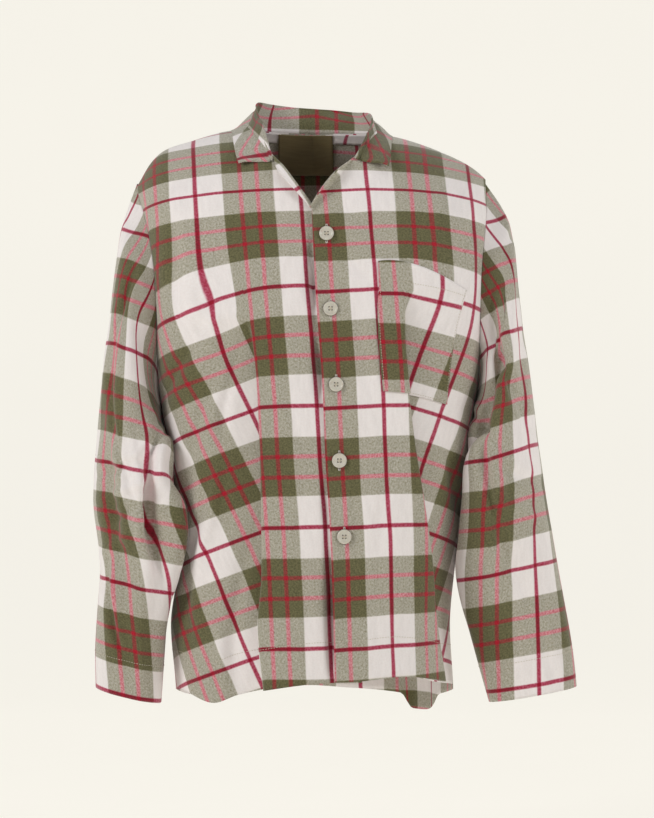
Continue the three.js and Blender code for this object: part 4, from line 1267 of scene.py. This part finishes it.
made = back_grid()
made["fabric"] = back_fabric(made)
made["normals"] = square_seams(made["grid"], normals_facing(1, made["grid"], BODY_PLACE))
crease_back(made)
sew("back", made)

for name in SIDE:
    made = sleeve_grid(name)
    made["fabric"] = sleeve_fabric(name, made)
    made["normals"] = grid_normals(made["grid"], True) * made["outwards"]
    crease_sleeve(name, made)
    sew(f"sleeve_{name}", made, closed=True)

made = collar_grid()
made["fabric"] = collar_fabric(made)
made["normals"] = -grid_normals(made["grid"])
sew("collar", made)


# ---------------------------------------------------------------- pieces sewn on
FRONT_ROW_COUNT, BACK_ROW_COUNT, ROW_EASE = 22, 20, 1.4
POCKET_ROWS, POCKET_COLUMNS, POCKET_NARROWS = (8, 13), (5.7, 22), 0.42
POCKET_OUT, POCKET_THICK = 2.0, 1.2
POCKET_SHIFT = (48, -6)             # its plaid doesn't quite meet the front's
FACING_SPAN, FACING_OUT = ((0.278, -0.278), (0, 1)), 3.0
FACING_PLAID = (95, 12)
LABEL_SPAN, LABEL_OUT = ((0.111, -0.1667), (0, 3)), 4.15
LINING_THICK = 0.7


def row_height(top, hem, row, count):
    return lerp(top, hem, (row / count) ** ROW_EASE)


def pocket_grid():
    """The patch pocket lies on the left front's form, drawn in towards its lower edge."""
    base = made_pieces["front_left"]
    columns = front_columns(*POCKET_COLUMNS, 14, 44)
    rows = np.linspace(*POCKET_ROWS, 61)[:, None]
    kept = 1 - POCKET_NARROWS * (rows - POCKET_ROWS[0]) / (POCKET_ROWS[1] - POCKET_ROWS[0])
    placed = np.where(columns > TUCK_TO, TUCK_TO + (columns - TUCK_TO) * kept, columns)
    top = np.interp(placed, base["columns"], base["top"])
    hem = np.interp(placed, base["columns"], base["hem"])
    z = row_height(top, hem, rows, FRONT_ROW_COUNT)
    length, _, _ = front_column("left", placed, z)
    across = length[len(length) // 2] / 100
    z = (np.vander(across, 4) @ np.polyfit(across, z.T, 3)).T
    length, inset, _ = front_column("left", placed, z)
    return dict(grid=torso_point(-1, 1, length, z, inset), z=z, columns=columns, placed=placed)


def facing_front(normals):
    return normals * np.where(normals[..., 1:2] > 0, -1, 1)


def lining(span, steps, out):
    """A strip inside the back neck, on the back's own form and out from it."""
    (left, right), rows = span
    share = np.linspace(left, right, steps[1] + 1)
    base = made_pieces["back"]
    top = np.interp(share, base["columns"], base["top"])
    hem = np.interp(share, base["columns"], base["hem"])
    z = row_height(top, hem, np.linspace(*rows, steps[0] + 1)[:, None], BACK_ROW_COUNT)
    side = np.where(share < 0, -1.0, 1.0)
    grid = torso_point(1, side, np.abs(share) * outer_length(1, z), z)
    normals = facing_front(grid_normals(grid))
    grid = grid + normals * out
    fabric = np.stack([lengths_across(grid), lengths_down(grid)], -1)
    return dict(grid=grid, normals=normals, fabric=fabric)


pocket = pocket_grid()
pocket["fabric"] = front_fabric("left", pocket) + POCKET_SHIFT
pocket["normals"] = normals_facing(-1, pocket["grid"], POCKET_PLACE)
pocket["grid"] = pocket["grid"] + pocket["normals"] * POCKET_OUT
sew("pocket", pocket, thick=POCKET_THICK)

facing = lining(FACING_SPAN, (6, 60), FACING_OUT)
facing["fabric"] = facing["fabric"] + FACING_PLAID
sew("neck_facing", facing, thick=LINING_THICK)

label = lining(LABEL_SPAN, (24, 40), LABEL_OUT)
piece = shell_mesh("satin_label", label["grid"], label["fabric"], label["normals"], LINING_THICK)
own(piece, satin("label_satin"), "label", "label")


# ---------------------------------------------------------------- buttons
# Profiles are (radius, height) from the button's middle and its lower face.
BUTTON_FIRST_Z, BUTTON_STEP, BUTTON_COUNT = -132, 93, 5
BUTTON_LAY = 0.45                   # from the front's form to the button's lower face
BUTTON_PROFILE = [(0, 0), (8, 0), (8.7, 0.3), (9, 0.9), (9, 1.9), (8.8, 2.45), (8.3, 2.75),
                  (7.5, 2.8), (6.9, 2.65), (6.3, 2.2), (5.6, 2.0), (0, 2.0)]
RIM_PROFILE = [(8.6, 0.6), (9.2, 0.5), (9.35, 1.0), (9.35, 1.6), (9.15, 2.0), (8.6, 1.9)]
BUTTON_TURNS, HOLE_TURNS = 48, 16
BUTTON_FACE = 2.0                   # height of the sunk face with the holes
HOLE_RADIUS, HOLE_APART = 0.95, 1.75
# Each hole is a shallow dark plug set into the button's face. Its dark colour is painted shade for
# the shadow inside a hole.
HOLE_PROFILE = [(0, -0.3), (HOLE_RADIUS, -0.3), (HOLE_RADIUS, 0.03), (0, 0.03)]
HOLE_CORNERS = ((-1, -1), (1, -1), (1, 1), (-1, 1))
THREAD_RADIUS, THREAD_BESIDE, THREAD_LEVEL, THREAD_ARCH = 0.34, 0.36, 2.1, 0.55


def button_place(k):
    """A button's middle, and its directions across, down and out."""
    z = np.array(BUTTON_FIRST_Z - BUTTON_STEP * k, float)
    x = float(read(PLACKET, "x", z)) + EDGE_TO_BUTTON
    here = body_at(-1, x, z)
    across = unit(body_at(-1, x + 4, z) - here)
    down = unit(body_at(-1, x, z - 4) - here)
    normal = unit(np.cross(down, across))
    normal = -normal if normal[1] > 0 else normal
    return here + normal * BUTTON_LAY, across, down, normal


def band(a, b, turns):
    """Faces between two rings of points that start at a and b."""
    return [(a + j, a + (j + 1) % turns, b + (j + 1) % turns, b + j) for j in range(turns)]


def rod(start, end, radius, lift, turns=8, steps=6):
    """A thread from start to end that arches up by lift; points and faces."""
    t = np.linspace(0, 1, steps + 1)
    up = unit(lift)
    line = lerp(start, end, t[:, None]) + lift * np.sin(math.pi * t)[:, None]
    side = unit(np.cross(end - start, up))
    angle = np.arange(turns) * math.tau / turns
    fat = radius * np.sqrt(np.maximum(0.12, 1 - (2 * t - 1) ** 6))[:, None, None]
    ring = (np.cos(angle)[:, None] * side + np.sin(angle)[:, None] * up)[None] * fat
    last = steps * turns
    faces = [face for a in range(0, last, turns) for face in band(a, a + turns, turns)]
    faces += [tuple(range(turns))[::-1], tuple(range(last, last + turns))]
    return (line[:, None] + ring).reshape(-1, 3), faces


def rings(profile, turns, centre, across, down, normal):
    """A ring of points about the normal for each row of a profile."""
    angle = np.arange(turns) * math.tau / turns
    spokes = np.cos(angle)[:, None] * across + np.sin(angle)[:, None] * down
    return [centre + normal * height + spokes * radius for radius, height in profile]


def turned(profile, turns, centre, across, down, normal):
    """A profile that starts and ends in the middle, turned about the normal."""
    first, last = ([centre + normal * height] for _, height in (profile[0], profile[-1]))
    made = rings(profile[1:-1], turns, centre, across, down, normal)
    points = np.concatenate([first, *made, last])
    end = len(points) - 1 - turns
    faces = [(0, 1 + (j + 1) % turns, 1 + j) for j in range(turns)]
    faces += [face for a in range(1, end, turns) for face in band(a, a + turns, turns)]
    faces += [(end + j, end + (j + 1) % turns, end + turns) for j in range(turns)]
    return points, faces


def hoop(profile, turns, *place):
    """A profile that closes on itself, turned about the normal."""
    size = len(profile) * turns
    faces = [face for a in range(0, size, turns) for face in band(a, (a + turns) % size, turns)]
    return np.concatenate(rings(profile, turns, *place)), faces


def solid(name, parts, material, slot, *nodes):
    """Several lists of points and faces as one piece."""
    points, faces, base = [], [], 0
    for part_points, part_faces in parts:
        points.append(part_points)
        faces += [tuple(v + base for v in face) for face in part_faces]
        base += len(part_points)
    piece = smooth_mesh(name, (np.concatenate(points) * MM).tolist(), faces)
    own(piece, material, slot, *nodes)


pearl_look = pearl("pearl")
# The holes' dark brown is painted shade, standing in for the shadow inside the holes.
hole_shade_look = plain("button_hole_painted_shade", (58, 46, 38), 0.7)
rim_look = plain("button_rim", (84, 72, 58), 0.4)
thread_look = plain("thread_cream", (226, 216, 196), 0.85)
for k in range(BUTTON_COUNT):
    centre, *ways = button_place(k)
    across, down, normal = ways
    tag = k + 1
    solid(f"pearl_button_{tag}", [turned(BUTTON_PROFILE, BUTTON_TURNS, centre, *ways)],
          pearl_look, "button", f"button_{tag}")
    solid(f"button_rim_{tag}", [hoop(RIM_PROFILE, BUTTON_TURNS, centre, *ways)], rim_look, "button")
    corners = [(a * across + b * down) * HOLE_APART for a, b in HOLE_CORNERS]
    # Dark plugs painted with shade where the four holes are.
    hole_shade_pits = [turned(HOLE_PROFILE, HOLE_TURNS, centre + normal * BUTTON_FACE + corner, *ways)
            for corner in corners]
    solid(f"button_hole_shades_{tag}", hole_shade_pits, hole_shade_look, "button")
    level = centre + normal * THREAD_LEVEL
    threads = []
    for a, b in ((0, 2), (1, 3)):
        for offset in (-THREAD_BESIDE, THREAD_BESIDE):
            shift = unit(np.cross(normal, corners[b] - corners[a])) * offset
            threads.append(rod(level + corners[a] + shift, level + corners[b] + shift,
                               THREAD_RADIUS, normal * THREAD_ARCH))
    solid(f"button_thread_{tag}", threads, thread_look, None)


# ---------------------------------------------------------------- stitches
STITCH_LONG, STITCH_GAP, STITCH_RADIUS, STITCH_ARCH, STITCH_RISE = 2.3, 1.1, 0.3, 0.28, 0.05
LABEL_STITCH = (1.8, 1.4, 0.22)
POCKET_HEM = 21
BUTTONHOLE_HALF, BUTTONHOLE_WIDE, BUTTONHOLE_STEP, BUTTONHOLE_SLIT = 11.4, 1.6, 0.62, 0.15
BAR_HALF, BAR_STEP = 1.6, 0.5       # the bar across each end of a buttonhole


def down_at(made, from_hem):
    """A line across a piece at a length up from its lower edge: points and normals."""
    down = lengths_down(made["grid"])
    line, normals = [], []
    for j in range(made["grid"].shape[1]):
        at = np.interp(down[-1, j] - from_hem, down[:, j], np.arange(len(down)))
        i = min(int(at), len(down) - 2)
        line.append(lerp(made["grid"][i, j], made["grid"][i + 1, j], at - i))
        normals.append(made["normals"][i, j])
    return np.array(line), np.array(normals)


def stitches(line, normals, long=STITCH_LONG, gap=STITCH_GAP, radius=STITCH_RADIUS):
    steps = np.linalg.norm(np.diff(line, axis=0), axis=1)
    at = np.concatenate([[0], np.cumsum(steps)])

    def spot(values, s):
        return np.array([np.interp(s, at, values[:, k]) for k in range(3)])

    parts = []
    for s in np.arange(1.0, at[-1] - long, long + gap):
        normal = unit(spot(normals, s + long / 2))
        start, end = (spot(line, place) + normal * STITCH_RISE for place in (s, s + long))
        parts.append(rod(start, end, radius, normal * STITCH_ARCH, 6, 4))
    return parts


hem_thread = []
for name in ("front_right", "front_left", "back"):
    hem_thread += stitches(*down_at(made_pieces[name], HEM_DEPTH))
solid("hem_stitches", hem_thread, thread_look, None)
for name in SIDE:
    cuff_thread = stitches(*down_at(made_pieces[f"sleeve_{name}"], CUFF_HEM))
    solid(f"cuff_stitches_{name}", cuff_thread, thread_look, None)

pocket_deep = float(lengths_down(pocket["grid"])[-1].mean())
pocket_thread = stitches(*down_at(pocket, pocket_deep - POCKET_HEM))
for edge in (np.s_[:, 1], np.s_[:, -2], np.s_[-2]):
    pocket_thread += stitches(pocket["grid"][edge], pocket["normals"][edge])
solid("pocket_stitches", pocket_thread, thread_look, None)

label_normals = facing_front(grid_normals(label["grid"]))
label_thread = []
for edge in (np.s_[1:-1, 1], np.s_[1:-1, -2]):
    label_thread += stitches(label["grid"][edge], label_normals[edge], *LABEL_STITCH)
solid("label_stitches", label_thread, plain("thread_olive", (120, 106, 66), 0.8), None)

hole_thread = []
for k in range(BUTTON_COUNT):
    centre, across, down, normal = button_place(k)
    base = centre - normal * (BUTTON_LAY - 0.1)
    for side in (-1, 1):
        for s in np.arange(-BUTTONHOLE_HALF, BUTTONHOLE_HALF, BUTTONHOLE_STEP):
            a, b = (base + down * s + across * side * out
                    for out in (BUTTONHOLE_SLIT, BUTTONHOLE_WIDE))
            hole_thread.append(rod(a, b, 0.28, normal * 0.35, 5, 3))
    for end in (-1, 1):
        for shift in (0, BAR_STEP):
            a = base + down * end * (BUTTONHOLE_HALF + shift) - across * BAR_HALF
            hole_thread.append(rod(a, a + across * 2 * BAR_HALF, 0.3, normal * 0.4, 5, 3))
solid("buttonhole_stitches", hole_thread, plain("thread_pale", (238, 230, 222), 0.85), None)


# ---------------------------------------------------------------- floor, light and camera, m
FLOOR_DROP = 0.22
SWEEP_FRONT, SWEEP_DEEP, SWEEP_HIGH, SWEEP_HALF, SWEEP_RADIUS = -6.0, 3.0, 4.5, 9.0, 1.2
LIGHTS = {                          # place, size across and down, power
    "key": ((-2.5, -1.7, 1.1), (1.0, 1.0), 48),
    "fill": ((2.6, -1.4, 0.7), (1.0, 1.0), 30),
    "top": ((0.1, -0.4, 2.0), (1.8, 1.4), 9),
}
LIT = (0.0, 0.0, -0.35)             # what the lights point at
WORLD_COLOUR, WORLD_STRENGTH = (0.96, 0.95, 0.93, 1), 0.15
CAMERA_X, CAMERA_AWAY, CAMERA_Z = 0.018, 3.2, -0.348
VIEW_HIGH = 1.047                   # how much height the camera sees at the garment
SENSOR_HIGH = 24


def floor_material():
    nodes = Nodes("floor_pale")
    grain = nodes.noise(nodes.place(), 6, 2)
    colour = nodes.mix(grain, linear(126, 124, 119), linear(122, 120, 115))
    return nodes.set(Base_Color=colour, Roughness=0.9, Specular_IOR_Level=0.1,
                     Emission_Color=linear(246, 243, 234), Emission_Strength=0.85)


def sweep(floor_z):
    """A floor that curves up into a backdrop, all of it pale."""
    start = SWEEP_DEEP - SWEEP_RADIUS
    profile = [(SWEEP_FRONT, 0.0), (start, 0.0)]
    profile += [(start + SWEEP_RADIUS * math.sin(a), SWEEP_RADIUS - SWEEP_RADIUS * math.cos(a))
                for a in np.linspace(0, math.pi / 2, 25)[1:]]
    profile.append((SWEEP_DEEP, SWEEP_HIGH))
    points = [(x, y, floor_z + z) for y, z in profile for x in (-SWEEP_HALF, SWEEP_HALF)]
    faces = [(2 * k, 2 * k + 1, 2 * k + 3, 2 * k + 2) for k in range(len(profile) - 1)]
    piece = smooth_mesh("studio_sweep", points, faces)
    piece.data.materials.append(floor_material())
    piece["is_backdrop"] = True


def area_light(name, place, size, power):
    lamp = bpy.data.lights.new(name, "AREA")
    lamp.shape = "RECTANGLE"
    lamp.size, lamp.size_y = size
    lamp.energy = power
    holder = in_scene(name, lamp)
    holder.location = place
    aim = Vector(LIT) - Vector(place)
    holder.rotation_euler = aim.to_track_quat("-Z", "Y").to_euler()


sweep(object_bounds()[0].z - FLOOR_DROP)
scene = bpy.context.scene
scene.view_settings.view_transform = "Standard"
for name, light in LIGHTS.items():
    area_light(name, *light)

scene.world = bpy.data.worlds.new("studio")
scene.world.use_nodes = True
background = scene.world.node_tree.nodes["Background"]
background.inputs[0].default_value = WORLD_COLOUR
background.inputs[1].default_value = WORLD_STRENGTH

# The camera stands level in front, at the height of the garment's middle.
camera = bpy.data.cameras.new("camera")
camera.sensor_fit = "VERTICAL"
camera.sensor_height = SENSOR_HIGH
camera.lens = SENSOR_HIGH * CAMERA_AWAY / VIEW_HIGH
camera.clip_start, camera.clip_end = 0.05, 50
scene.camera = in_scene("camera", camera)
scene.camera.location = (CAMERA_X, -CAMERA_AWAY, CAMERA_Z)
scene.camera.rotation_euler = (math.pi / 2, 0, 0)
